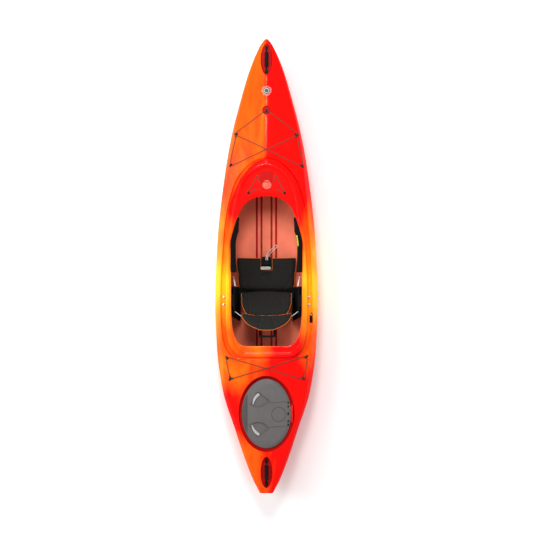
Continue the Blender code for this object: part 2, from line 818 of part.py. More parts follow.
def bottom_z(x, y, inset):
    """Height of the bottom's inner or outer skin."""
    width = half_breadth(y) - inset
    low = curve_at(KEEL_HEIGHT, share(y)) + inset
    seam = curve_at(SEAM_HEIGHT, share(y))
    full = curve_at(FULLNESS, share(y))
    part = min(abs(x) / width, 1.0)
    return seam - (seam - low) * (1.0 - part ** full) ** (1.0 / full)


def groove_mesh():
    """Four long grooves in the floor, cut half way into the wall."""
    bars = []
    for x in (-FLOOR_GROOVES[1], -FLOOR_GROOVES[0], FLOOR_GROOVES[0], FLOOR_GROOVES[1]):
        sections = []
        for index in range(GROOVE_STEPS + 1):
            y = GROOVE_FROM + (GROOVE_TO - GROOVE_FROM) * index / GROOVE_STEPS
            low = bottom_z(x, y, WALL) - GROOVE_DEPTH
            half = GROOVE_WIDTH / 2
            sections.append([(x - half * 0.6, y, low), (x + half * 0.6, y, low),
                             (x + half, y, low + GROOVE_DEPTH + 0.004), (x - half, y,
                                                                         low + GROOVE_DEPTH + 0.004)])
        bars.append(strip_mesh(sections))
    return joined(*bars)


def make_hull():
    hull = solid_from_rings("hull", hull_rings(0.0))
    hull.data.materials.append(material("hull", "hull"))
    cuts = [prism_mesh(outline, floor, 0.6) for outline, floor in recess_list()]
    for half, long, centre, floor in pocket_list():
        roof = coaming_z(SIDE_TO) - LIP - 0.001
        cuts.append(prism_mesh(stadium(half, long, centre), floor, roof))
    boolean(hull, add_object("hull_recesses", joined(*cuts)))
    top = deck_z(0.0, BADGE_Y) + BOSS_RISE
    boolean(hull, add_object("hull_badge_boss", prism_mesh(
        oval(BOSS_RADIUS, BOSS_RADIUS, (0.0, BADGE_Y), 28), top - 0.030, top)), "UNION")
    boolean(hull, make_cavity("hull_cavity", WALL))
    starboard = along(OPENING_PATH, [i / 30 for i in range(31)])
    outline = [(p.x, p.y) for p in starboard] + [(-p.x, p.y) for p in reversed(starboard[1:-1])]
    boolean(hull, add_object("hull_cockpit", prism_mesh(outline, 0.15, 0.60)))
    boolean(hull, add_object("hull_hatch", prism_mesh(
        oval(HATCH_HALF_WIDTH - HATCH_LAND, HATCH_HALF_LENGTH - HATCH_LAND, (0.0, HATCH_Y), 40), 0.20, 0.60)))
    tray = dash_tray()
    boolean(hull, add_object("hull_dash_tray", prism_mesh(tray, dash_z() - 0.0028, 0.6)))
    boolean(hull, add_object("hull_skeg_slot", box_mesh(
        (-SKEG_SLOT_HALF, SKEG_REAR, -0.05), (SKEG_SLOT_HALF, SKEG_FRONT, 0.12))))
    stern = -LENGTH / 2
    boolean(hull, add_object("hull_drain_seat", rod_mesh(
        (0.0, stern - 0.02, DRAIN_HEIGHT), (0.0, stern + DRAIN_DEPTH,
                                            DRAIN_HEIGHT), DRAIN_RADIUS + SEAT_GAP)))
    holes = [rod_mesh((0.0, stern - 0.02, DRAIN_HEIGHT), (0.0, stern + 0.05, DRAIN_HEIGHT),
                      DRAIN_STEM + SEAT_GAP),
             rod_mesh((*FAIRLEAD_PLACE, 0.24), (*FAIRLEAD_PLACE, 0.32), FAIRLEAD_STEM + SEAT_GAP, sides=14)]
    for side in (-1, 1):
        for y in SCREW_Y:
            holes.append(rod_mesh((side * SCREW_X, y, 0.24), (side * SCREW_X, y, 0.32),
                                  SCREW_SHANK + RUN_GAP, sides=8))
    boolean(hull, add_object("hull_screw_holes", joined(*holes)))
    return hull


def dash_z():
    return coaming_z(COAMING_FRONT) - DASH_DROP


def dash_tray():
    corners = [(-DASH_TRAY_FRONT_HALF, DASH_TRAY_FRONT), (DASH_TRAY_FRONT_HALF, DASH_TRAY_FRONT),
               (DASH_TRAY_REAR_HALF, DASH_TRAY_REAR), (-DASH_TRAY_REAR_HALF, DASH_TRAY_REAR)]
    return corners


def placed(bm, point, up, ahead=(0.0, 1.0, 0.0)):
    """Turns a shape so that its Z is along up and its Y as near ahead as it can be, then moves it."""
    up = Vector(up).normalized()
    side = Vector(ahead).cross(up).normalized()
    front = up.cross(side)
    turn = Matrix((side, front, up)).transposed().to_4x4()
    bmesh.ops.transform(bm, verts=bm.verts, matrix=Matrix.Translation(point) @ turn)
    return bm


def ring_tube(points, radius, sides=6, start_turn=0.0):
    """Round bar along a few points that all lie in one plane across X."""
    sections = []
    for index, point in enumerate(points):
        before = Vector(points[max(index - 1, 0)])
        after = Vector(points[min(index + 1, len(points) - 1)])
        run = (after - before).normalized()
        flat = run.cross(Vector((0.0, 1.0, 0.0))).normalized()
        sections.append([Vector(point) + radius * (math.cos(a) * flat + math.sin(a) * Vector((0.0, 1.0, 0.0)))
                         for a in (start_turn + 2 * math.pi * i / sides for i in range(sides))])
    return strip_mesh(sections)


def eye_shapes():
    """Base plate and loop of a deck fitting, standing on Z = 0 with the loop across X."""
    base = prism_mesh(stadium(EYE_BASE_WIDTH / 2, EYE_BASE_LENGTH / 2, arc=4), 0.0, EYE_BASE_THICK)
    bmesh.ops.rotate(base, verts=base.verts, matrix=Matrix.Rotation(math.pi / 2, 3, "Z"))
    arc = [(EYE_LOOP_RADIUS * math.cos(a), 0.0, EYE_BASE_THICK * 0.5 + EYE_LOOP_RISE * math.sin(a))
           for a in (math.pi * i / 6 for i in range(7))]
    return base, ring_tube(arc, EYE_WIRE, start_turn=math.radians(30))


def flat_spot(hull, x, y):
    """Where a small fitting sits on the deck: its seat point and the deck's own direction there."""
    point, normal = hull.down(x, y)
    return point + normal * SEAT_GAP, normal


def make_eye(name, hull, place, inward):
    """One rigging eye, with the loop's plane along the way the cord's corner points."""
    point, normal = flat_spot(hull, place.x, place.y)
    ahead = Vector((-inward[1], inward[0], 0.0))
    shapes = [placed(bm, point + normal * EYE_FEET, normal, ahead) for bm in eye_shapes()]
    return union_of(name, "black", shapes)


def plan(eyes, name):
    x, y, _ = eyes[name]
    return Vector((x * BEAM / RIGGING_BEAM, y, 0.0))


def leg_shares(start, end, lift_at):
    """Shares along a straight leg, with those over the deck's ridge and over another leg put in."""
    kept = [] if lift_at is None else [lift_at]
    if start.x * end.x < 0:
        ridge = start.x / (start.x - end.x)
        if all(abs(ridge - part) > 0.02 for part in kept):
            kept.append(ridge)
    return sorted(kept + [part for part in RIG_SHARES if all(abs(part - other) > 0.05 for other in kept)])


def crossing_share(start, end, other_start, other_end):
    """Where a leg passes over another one, as a share of its length."""
    run, other = end - start, other_end - other_start
    across = run.x * other.y - run.y * other.x
    gap = other_start - start
    return (gap.x * other.y - gap.y * other.x) / across


def rigging_points(hull, eyes, route, over):
    """Points of a shock cord over the deck from eye to eye; over says which leg passes over which."""
    holes = {}
    for name in eyes:
        point, normal = flat_spot(hull, *plan(eyes, name).xy)
        holes[name] = point + normal * (EYE_FEET + EYE_HOLE)
    ends = []
    for leg in range(len(route) - 1):
        run = plan(eyes, route[leg + 1]) - plan(eyes, route[leg])
        turns = []
        for name, sign in ((route[leg], 1), (route[leg + 1], -1)):
            inward = Vector((*eyes[name][2], 0.0)).normalized()
            side = Vector((-inward.y, inward.x, 0.0))
            hand = 1.0 if (sign * run).dot(side) > 0 else -1.0
            turns.append(holes[name] + side * hand * EYE_PASS)
        run.normalize()
        if leg == 0:
            turns[0] = plan(eyes, route[0]) + run * CORD_END
        if leg == len(route) - 2:
            turns[1] = plan(eyes, route[-1]) - run * CORD_END
        ends.append(turns)
    points = []
    for leg, (a, b) in enumerate(ends):
        lift_at = crossing_share(a, b, *ends[over[leg]]) if leg in over else None
        shares = leg_shares(a, b, lift_at)
        for part in shares:
            here = a.lerp(b, part)
            if part in (0.0, 1.0) and here.z > 0.0:
                points.append(here)
                continue
            level = max(hull.down(here.x + dx, here.y + dy)[0].z
                        for dx, dy in ((0, 0), (0.005, 0), (-0.005, 0), (0, 0.005), (0, -0.005)))
            rise = CORD_RADIUS + CORD_CLEAR
            if part in (shares[1], shares[-2]):
                rise = CORD_NEAR
            if lift_at is not None:
                rise += CORD_OVER * math.exp(-((part - lift_at) / 0.12) ** 2)
            points.append(Vector((here.x, here.y, level + rise)))
    return points


def dash_points(hull):
    """Points of the shock cord on the dash, round its two moulded hooks and over the tray."""
    half = [(0.0455, 0.5415), (0.0930, 0.5320), (0.1130, 0.5190), (0.1350, 0.5080), (0.1360, 0.5160),
            (0.1180, 0.5440), (0.0960, 0.5790), (0.0640, 0.6400), (0.0600, 0.6300), (0.0520, 0.5970)]
    plan_points = [(-x, y) for x, y in half] + [(x, y) for x, y in reversed(half)]
    points = []
    for point in along(smooth_path([(x, y, 0.0) for x, y in plan_points], 8), [i / 28 for i in range(29)]):
        level = max(hull.down(point.x + dx, point.y + dy)[0].z
                    for dx in (-0.011, 0.0, 0.011) for dy in (-0.011, 0.0, 0.011))
        if abs(point.x) < DASH_TRAY_FRONT_HALF + 0.01:
            level = max(level, dash_z())
        points.append(Vector((point.x, point.y, level + CORD_RADIUS + CORD_CLEAR)))
    return points


def make_rigging(hull):
    for eyes in (BOW_EYES, STERN_EYES):
        for name in eyes:
            make_eye(name, hull, plan(eyes, name), eyes[name][2])
    cord_object("bow_deck_cord", rigging_points(hull, BOW_EYES, BOW_ROUTE, {4: 1}), CORD_RADIUS, "cord")
    cord_object("stern_deck_cord", rigging_points(hull, STERN_EYES, STERN_ROUTE, {3: 1}), CORD_RADIUS, "cord")
    cord_object("dash_cord", dash_points(hull), CORD_RADIUS, "cord")
    top = deck_z(0.0, BADGE_Y) + BOSS_RISE + SEAT_GAP
    add_object("bow_badge", rod_mesh((0.0, BADGE_Y, top), (0.0, BADGE_Y, top + BADGE_THICK), BADGE_RADIUS,
                                     BADGE_RADIUS - 0.0015, sides=32), "badge")


def make_handle(end, y):
    """Carry handle in its recess: two anchors, a webbing strap and the grip round it."""
    seat = handle_seat(y)
    middle = seat + GRIP_CLEAR + GRIP_RADIUS
    low = seat + SEAT_GAP
    for sign, place in ((1, "front"), (-1, "rear")):
        outer = y + sign * HANDLE_HALF_LENGTH
        inner = y + sign * (HANDLE_HALF_LENGTH - ANCHOR_LENGTH)
        block = box_mesh((-ANCHOR_WIDTH / 2, min(outer, inner), low),
                         (ANCHOR_WIDTH / 2, max(outer, inner), low + ANCHOR_HEIGHT))
        add_object(f"{end}_handle_anchor_{place}", bevelled(block, 0.002, 1), "black")
    reach = HANDLE_HALF_LENGTH - ANCHOR_LENGTH - SEAT_GAP
    strap = []
    for part, height in ((-1.0, 0.0), (-0.93, 0.12), (-0.86, 0.85), (-0.78, 1.0), (0.78, 1.0), (0.86, 0.85),
                         (0.93, 0.12), (1.0, 0.0)):
        z = low + ANCHOR_HEIGHT * 0.55 + height * (middle - low - ANCHOR_HEIGHT * 0.55)
        strap.append([(dx * WEBBING_WIDTH / 2, y + part * reach, z + dz * WEBBING_THICK / 2)
                      for dx, dz in ((-1, -1), (1, -1), (1, 1), (-1, 1))])
    add_object(f"{end}_handle_webbing", strip_mesh(strap), "black")
    barrel = add_object(f"{end}_handle_grip", bevelled(rod_mesh(
        (0.0, y - GRIP_HALF_LENGTH, middle), (0.0, y + GRIP_HALF_LENGTH, middle), GRIP_RADIUS, sides=12),
        0.002, 1), "rubber", (0.0, y, middle))
    boolean(barrel, add_object(f"{end}_handle_bore", rod_mesh(
        (0.0, y - GRIP_HALF_LENGTH - 0.01, middle), (0.0, y + GRIP_HALF_LENGTH + 0.01, middle), GRIP_BORE,
        sides=10)))


def ellipse_rings(name, colour, rings, centre, count=48, origin=(0.0, 0.0, 0.0)):
    """Closed oval solid through rings of (half width, half length, height), from outside to inside."""
    bm = bmesh.new()
    rows = []
    for half_x, half_y, z in rings:
        rows.append([bm.verts.new((centre[0] + half_x * math.cos(2 * math.pi * i / count),
                                   centre[1] + half_y * math.sin(2 * math.pi * i / count), z))
                     for i in range(count)])
    for a, b in zip(rows, rows[1:]):
        for i in range(count):
            j = (i + 1) % count
            bm.faces.new((a[i], a[j], b[j], b[i]))
    bm.faces.new(rows[0])
    bm.faces.new(rows[-1])
    bmesh.ops.triangulate(bm, faces=bm.faces)
    bmesh.ops.recalc_face_normals(bm, faces=bm.faces)
    return add_object(name, bm, colour, origin)


def fan(centre, start, end):
    """Outline of the pocket that a latch lever sweeps, with its round hub."""
    margin = LATCH_WIDTH / 2 + 0.003
    reach = LATCH_LENGTH + 0.004
    sign = 1 if end > start else -1
    corner = math.asin(margin / reach) * sign
    quarter = math.pi / 2 * sign
    back = 2 * math.pi * sign
    hub = [end + quarter + (start - quarter + back - end - quarter) * i / 8 for i in range(9)]
    rim = [start - corner + (end - start + 2 * corner) * i / 12 for i in range(13)]
    points = [(centre[0] + margin * math.cos(a), centre[1] + margin * math.sin(a)) for a in hub]
    return points + [(centre[0] + reach * math.cos(a), centre[1] + reach * math.sin(a)) for a in rim]


def hinge_axis():
    return Vector((HATCH_HALF_WIDTH + HINGE_OUT, HATCH_Y, HATCH_SEAT + HINGE_RISE))


def cover_base():
    return HATCH_SEAT + SEAT_GAP + GASKET_THICK + SEAT_GAP


def pocket_z():
    return cover_base() + COVER_EDGE + COVER_CROWN * 0.62 - LATCH_POCKET


def make_hatch():
    axis = hinge_axis()
    base = cover_base()
    wide, long = HATCH_HALF_WIDTH, HATCH_HALF_LENGTH
    low = HATCH_SEAT + SEAT_GAP
    floor = pocket_z()
    outer, inner = GASKET_OUTER - HATCH_LAND, GASKET_INNER - HATCH_LAND
    gasket = add_object("hatch_gasket", prism_mesh(
        oval(wide + outer, long + outer, (0.0, HATCH_Y), 32), low, low + GASKET_THICK), "rubber")
    boolean(gasket, add_object("hatch_gasket_bore", prism_mesh(
        oval(wide + inner, long + inner, (0.0, HATCH_Y), 32), 0.2, 0.4)))
    rings = [
        (wide * 0.30, long * 0.30, floor - 0.0045),
        (wide - 0.038, long - 0.038, floor - 0.0045),
        (wide - 0.030, long - 0.030, base),
        (wide, long, base),
        (wide, long, base + COVER_EDGE * 0.7),
        (wide - 0.003, long - 0.003, base + COVER_EDGE),
        (wide * 0.86, long * 0.90, base + COVER_EDGE + COVER_CROWN * 0.36),
        (wide * 0.62, long * 0.62, base + COVER_EDGE + COVER_CROWN * 0.78),
        (wide * 0.30, long * 0.30, base + COVER_EDGE + COVER_CROWN),
    ]
    cover = ellipse_rings("hatch_cover", "hatch", rings, (0.0, HATCH_Y), 30, axis)
    ends = HINGE_HALF_LENGTH
    boolean(cover, add_object("hatch_cover_knuckle", rod_mesh(
        axis - Vector((0, ends, 0)), axis + Vector((0, ends, 0)), HINGE_RADIUS, sides=12)), "UNION")
    boolean(cover, add_object("hatch_cover_pin", rod_mesh(
        axis - Vector((0, ends + 0.0105, 0)), axis + Vector((0, ends + 0.0105,
                                                             0)), HINGE_PIN, sides=12)), "UNION")
    boolean(cover, add_object("hatch_cover_web", box_mesh(
        (axis.x - 0.030, HATCH_Y - ends + 0.002, axis.z - 0.0065),
        (axis.x - 0.002, HATCH_Y + ends - 0.002, axis.z - 0.001))), "UNION")
    cuts, pads = [], []
    for local_y, start, end in LATCHES.values():
        place = (LATCH_X, HATCH_Y + local_y)
        cuts.append(prism_mesh(fan(place, start, end), floor, 0.5))
        pads.append(rod_mesh((*place, floor - 0.006), (*place, floor + 0.001), 0.016, sides=16))
    boolean(cover, add_object("hatch_cover_pads", joined(*pads)), "UNION")
    boolean(cover, add_object("hatch_cover_fans", joined(*cuts)))
    holes = [rod_mesh((LATCH_X, HATCH_Y + y, 0.2), (LATCH_X, HATCH_Y + y, 0.4), SPINDLE_RADIUS + RUN_GAP,
                      sides=16)
             for y, _, _ in LATCHES.values()]
    boolean(cover, add_object("hatch_cover_holes", joined(*holes)))
    for name, (local_y, start, _) in LATCHES.items():
        make_latch(name, Vector((LATCH_X, HATCH_Y + local_y, floor)), start)
    make_hinge_bracket(axis)


def make_latch(name, place, angle):
    """Lever on the cover's top, with its spindle and the washer that holds it below."""
    low = place.z + SEAT_GAP + 0.0003
    bar = stadium(LATCH_WIDTH / 2, (LATCH_LENGTH + LATCH_WIDTH / 2) / 2,
                  (0.0, (LATCH_LENGTH - LATCH_WIDTH / 2) / 2), 6)
    turn = angle - math.pi / 2
    points = [(place.x + x * math.cos(turn) - y * math.sin(turn),
               place.y + x * math.sin(turn) + y * math.cos(turn)) for x, y in bar]
    shapes = [prism_mesh(points, low, low + LATCH_THICK),
              rod_mesh((place.x, place.y, place.z - 0.0105), (place.x, place.y, low + 0.002),
                       SPINDLE_RADIUS, sides=16),
              rod_mesh((place.x, place.y, place.z - 0.0105), (place.x, place.y, place.z - 0.0068), 0.0095,
                       sides=16)]
    union_of(name, "latch", shapes, (place.x, place.y, place.z))


def make_hinge_bracket(axis):
    """Two ears on the rim of the hatch recess, joined by a foot, with the bores for the cover's pin."""
    low = HATCH_SEAT + SEAT_GAP
    inner = HINGE_HALF_LENGTH + 0.0012
    outer = inner + 0.0085
    shapes = [box_mesh((axis.x - 0.006, HATCH_Y - outer, low),
                       (axis.x + 0.006, HATCH_Y + outer, low + 0.0025))]
    for sign in (-1, 1):
        ys = sorted((HATCH_Y + sign * inner, HATCH_Y + sign * outer))
        shapes.append(box_mesh((axis.x - 0.006, ys[0], low + 0.001), (axis.x + 0.006, ys[1], axis.z + 0.006)))
    bracket = union_of("hatch_hinge_bracket", "black", shapes)
    boolean(bracket, add_object("hatch_hinge_bores", rod_mesh(
        axis - Vector((0, 0.1, 0)), axis + Vector((0, 0.1, 0)), HINGE_PIN + 0.0006, sides=12)))


def grid_pad(name, colour, rows, origin=(0.0, 0.0, 0.0)):
    """Closed pad from matching rows of (top point, bottom point) pairs."""
    bm = bmesh.new()
    tops = [[bm.verts.new(pair[0]) for pair in row] for row in rows]
    bottoms = [[bm.verts.new(pair[1]) for pair in row] for row in rows]
    for grid in (tops, bottoms):
        for a, b in zip(grid, grid[1:]):
            for i in range(len(a) - 1):
                bm.faces.new((a[i], a[i + 1], b[i + 1], b[i]))
    rim_top = tops[0] + [row[-1] for row in tops[1:]] + tops[-1][-2::-1] + [row[0] for row in tops[-2:0:-1]]
    rim_low = (bottoms[0] + [row[-1] for row in bottoms[1:]] + bottoms[-1][-2::-1]
               + [row[0] for row in bottoms[-2:0:-1]])
    for i in range(len(rim_top)):
        j = (i + 1) % len(rim_top)
        bm.faces.new((rim_top[i], rim_top[j], rim_low[j], rim_low[i]))
    bmesh.ops.triangulate(bm, faces=bm.faces)
    bmesh.ops.recalc_face_normals(bm, faces=bm.faces)
    return add_object(name, bm, colour, origin)


def rounded(part, sharp=6):
    """1 in the middle of a pad and 0 at its edge, where part runs from -1 to 1."""
    return 1.0 - abs(part) ** sharp


def seam_dip(distance, width=0.006):
    return math.exp(-(distance / width) ** 2)


def seat_half(y):
    part = (SEAT_FRONT - y) / (SEAT_FRONT - SEAT_REAR)
    return SEAT_HALF_FRONT + (SEAT_HALF_REAR - SEAT_HALF_FRONT) * part ** 1.6


def seat_pad(name, front, rear, base, crown_front, columns=16, steps=6, origin=(0.0, 0.0, 0.0)):
    """Cushion of the seat: crowned top, drawn-in edges and two slanting seams."""
    rows = []
    for row in range(steps + 1):
        y = front + (rear - front) * row / steps
        lengthwise = rounded(2 * row / steps - 1, 8)
        half = seat_half(y) - 0.004 * (1 - lengthwise)
        pairs = []
        for column in range(columns + 1):
            part = 2 * column / columns - 1
            x = half * part
            across = rounded(part, 10)
            full = CUSHION_THICK + CUSHION_BASE - base + crown_front * (y - SEAT_SPLIT) / (SEAT_FRONT - SEAT_SPLIT)
            bulge = CUSHION_CROWN * (part ** 2 - 0.35) + full
            seam_x = half - 0.014 - (SEAT_SEAM_FROM - y) * SEAT_SEAM_SLOPE
            dip = 0.004 * seam_dip(abs(x) - seam_x) if y < SEAT_SEAM_FROM else 0.0
            top = base + 0.008 + (bulge - 0.008 - dip) * min(across, lengthwise) ** 0.35
            pairs.append(((x, y, top), (x * 0.985, y, base)))
        rows.append(pairs)
    return grid_pad(name, "fabric", rows, origin)


def back_point(x, s, n):
    """World point of the backrest from across, along and out-of-plane distances."""
    c, d = math.cos(BACK_ANGLE), math.sin(BACK_ANGLE)
    lift = n + BACK_WRAP * (abs(x) / BACK_HALF_LOW) ** 2.2
    return Vector((x, BACK_PIVOT_Y - s * c + lift * d, BACK_PIVOT_Z + s * d + lift * c))


def back_half(s):
    """Half width of the backrest at a distance up from its pivot."""
    return curve_at([(0.0, BACK_HALF_LOW), (0.09, BACK_HALF_LOW), (0.17, 0.158), (0.232, 0.116)], s)


def band_half(s):
    return curve_at([(0.222, 0.184), (0.26, 0.176), (0.30, 0.146), (0.335, 0.086), (0.350, 0.045)], s)


def back_pad(name, half, low, high, thick, columns, steps, seams, origin):
    rows = []
    for row in range(steps + 1):
        s = low + (high - low) * row / steps
        lengthwise = rounded(2 * row / steps - 1, 8)
        pairs = []
        for column in range(columns + 1):
            part = 2 * column / columns - 1
            x = half(s) * part
            full = thick * (1.0 - 0.25 * seams(x, s))
            n = 0.005 + (full - 0.005) * min(rounded(part, 8), lengthwise) ** 0.4
            pairs.append((back_point(x, s, n), back_point(x * 0.98, s, 0.0)))
        rows.append(pairs)
    return grid_pad(name, "fabric", rows, origin)


def lower_seams(x, s):
    edge = 0.116 - 0.12 * (s - 0.02)
    return max(seam_dip(abs(x) - edge), 0.0)


def band_seams(x, s):
    edge = 0.028 + 0.25 * (s - 0.222)
    return seam_dip(abs(x) - edge, 0.004)


def make_backrest():
    pivot = (0.0, BACK_PIVOT_Y, BACK_PIVOT_Z)
    rows = []
    steps, columns = 5, 8
    for row in range(steps + 1):
        s = -0.006 + (BACK_LENGTH - 0.030) * row / steps
        half = min(back_half(s) - 0.012, BACK_HALF_TOP + 0.05) if s < BACK_SPLIT else BACK_HALF_TOP
        pairs = []
        for column in range(columns + 1):
            x = half * (2 * column / columns - 1)
            pairs.append((back_point(x, s, -SLIDE_GAP), back_point(x, s, -SLIDE_GAP - BACK_FRAME_THICK)))
        rows.append(pairs)
    frame = grid_pad("backrest_frame", "black", rows, pivot)
    for side, word in ((1, "starboard"), (-1, "port")):
        low = Vector((side * 0.050, BACK_PIVOT_Y, BACK_PIVOT_Z))
        high = Vector((side * (PAN_EAR_X + 0.0075), BACK_PIVOT_Y, BACK_PIVOT_Z))
        boolean(frame, add_object(f"backrest_pin_{word}", rod_mesh(low, high, BACK_PIN, sides=14)), "UNION")
    grip = [back_point(x, s, n) for x, s, n in (
        (-0.050, 0.262, -0.0036), (-0.044, 0.285, -0.034), (0.044, 0.285, -0.034), (0.050, 0.262, -0.0036))]
    boolean(frame, add_object("backrest_pull", bar_mesh(grip, 0.005)), "UNION")
    back_pad("backrest_pad", back_half, 0.020, BACK_SPLIT, BACK_PAD_THICK, 14, 8, lower_seams, pivot)
    back_pad("backrest_band", band_half, BACK_SPLIT + 0.003, 0.350, BACK_PAD_THICK, 14, 6, band_seams, pivot)


def bar_mesh(points, radius, sides=8):
    """Round bar with its sections square to its run, through points in any plane."""
    sections = []
    for index, point in enumerate(points):
        before = Vector(points[max(index - 1, 0)])
        after = Vector(points[min(index + 1, len(points) - 1)])
        run = (after - before).normalized()
        first = run.cross(Vector((0.21, 0.53, 0.82))).normalized()
        second = run.cross(first)
        sections.append([Vector(point) + radius * (math.cos(a) * first + math.sin(a) * second)
                         for a in (2 * math.pi * i / sides for i in range(sides))])
    return strip_mesh(sections)


def floor_height(hull, x_range, y_range):
    """Highest point of the floor under a foot."""
    return max(hull.down(x, y, 0.03 + bottom_z(x, y, WALL))[0].z
               for x in x_range for y in (y_range[0], sum(y_range) / 2, y_range[1]))


def notch_outline(inset):
    """Opening in the front of the seat, round in its rear corners."""
    half, rear, round_off = NOTCH_HALF - inset, SEAT_FRONT - NOTCH_DEPTH + inset, 0.014
    turns = [math.radians(15 * i) for i in range(7)]
    right = [(half - round_off + round_off * math.cos(a),
              rear + round_off - round_off * math.sin(a)) for a in turns]
    left = [(-x, y) for x, y in reversed(right)]
    return [(half, SEAT_FRONT + 0.03)] + right + left + [(-half, SEAT_FRONT + 0.03)]


def make_seat(hull):
    pan_low = CUSHION_BASE - SEAT_GAP - PAN_THICK
    pan_high = CUSHION_BASE - SEAT_GAP
    rear = SEAT_REAR - 0.045
    plates = []
    outline = [(SEAT_HALF_FRONT - 0.012, SEAT_FRONT - 0.012), (SEAT_HALF_REAR, SEAT_REAR),
               (SEAT_HALF_REAR, rear)]
    points = [(x, y) for x, y in outline] + [(-x, y) for x, y in reversed(outline)]
    plates.append(prism_mesh(points, pan_low, pan_high))
    for side in (-1, 1):
        xs = sorted((side * (RUNNER_X - RUNNER_WIDTH / 2), side * (RUNNER_X + RUNNER_WIDTH / 2)))
        ys = (rear + 0.02, SEAT_FRONT - 0.03)
        low = floor_height(hull, (xs[0], sum(xs) / 2, xs[1]), ys) + SEAT_GAP
        plates.append(box_mesh((xs[0], ys[0], low), (xs[1], ys[1], pan_low + 0.002)))
        ear = sorted((side * (PAN_EAR_X - 0.004), side * (PAN_EAR_X + 0.0025)))
        plates.append(box_mesh((ear[0], BACK_PIVOT_Y - 0.016, pan_low + 0.001),
                               (ear[1], BACK_PIVOT_Y + 0.010, BACK_PIVOT_Z + 0.014)))
    pan = union_of("seat_pan", "black", plates)
    boolean(pan, add_object("seat_pan_bores", rod_mesh(
        (-0.3, BACK_PIVOT_Y, BACK_PIVOT_Z), (0.3, BACK_PIVOT_Y, BACK_PIVOT_Z), BACK_PIN + RUN_GAP, sides=14)))
    seat_pad("seat_cushion", SEAT_SPLIT - 0.0010, SEAT_REAR, CUSHION_BASE, 0.0)
    lifter_high = CUSHION_BASE + LIFTER_THICK
    lifter_base = lifter_high + SEAT_GAP
    axis = (0.0, SEAT_SPLIT, CUSHION_BASE + CUSHION_THICK + 0.004)
    half = SEAT_HALF_FRONT - 0.012
    plate = add_object("leg_lifter_plate", prism_mesh(
        [(half, SEAT_FRONT - 0.006), (half - 0.010, SEAT_SPLIT + 0.001), (-half + 0.010, SEAT_SPLIT + 0.001),
         (-half, SEAT_FRONT - 0.006)], CUSHION_BASE + SEAT_GAP, lifter_high), "black", axis)
    pad = seat_pad("leg_lifter_pad", SEAT_FRONT, SEAT_SPLIT + 0.0010, lifter_base, 0.008, columns=18,
                   origin=axis)
    boolean(plate, add_object("leg_lifter_plate_notch", prism_mesh(notch_outline(0.0), 0.0, 0.2)))
    boolean(pad, add_object("leg_lifter_pad_notch", prism_mesh(notch_outline(0.0012), 0.0, 0.2)))
    shapes = [bevelled(box_mesh((-0.030, -0.014, CUSHION_BASE),
                                (0.030, SEAT_FRONT - 0.014, CUSHION_BASE + 0.014)),
                       0.002, 1),
              bevelled(box_mesh((-0.020, 0.008, CUSHION_BASE + 0.010),
                                (0.020, 0.040, CUSHION_BASE + 0.033)), 0.003, 1)]
    union_of("leg_lifter_cleat", "black", shapes)
    make_lifter_cord(hull)
    make_side_panels(hull)


def make_lifter_cord(hull):
    """The lifter's pull cord, a doubled loop that lies forward over the floor."""
    route = smooth_path(LIFTER_ROUTE, 10)
    points = along(route, [i / 30 for i in range(31)])
    for point in points:
        ground = hull.down(point.x, point.y, point.z + 0.004)[0]
        if ground is not None:
            point.z = max(point.z, ground.z + LIFTER_CORD + 0.0005)
    cord_object("leg_lifter_cord", points, LIFTER_CORD, "pale")


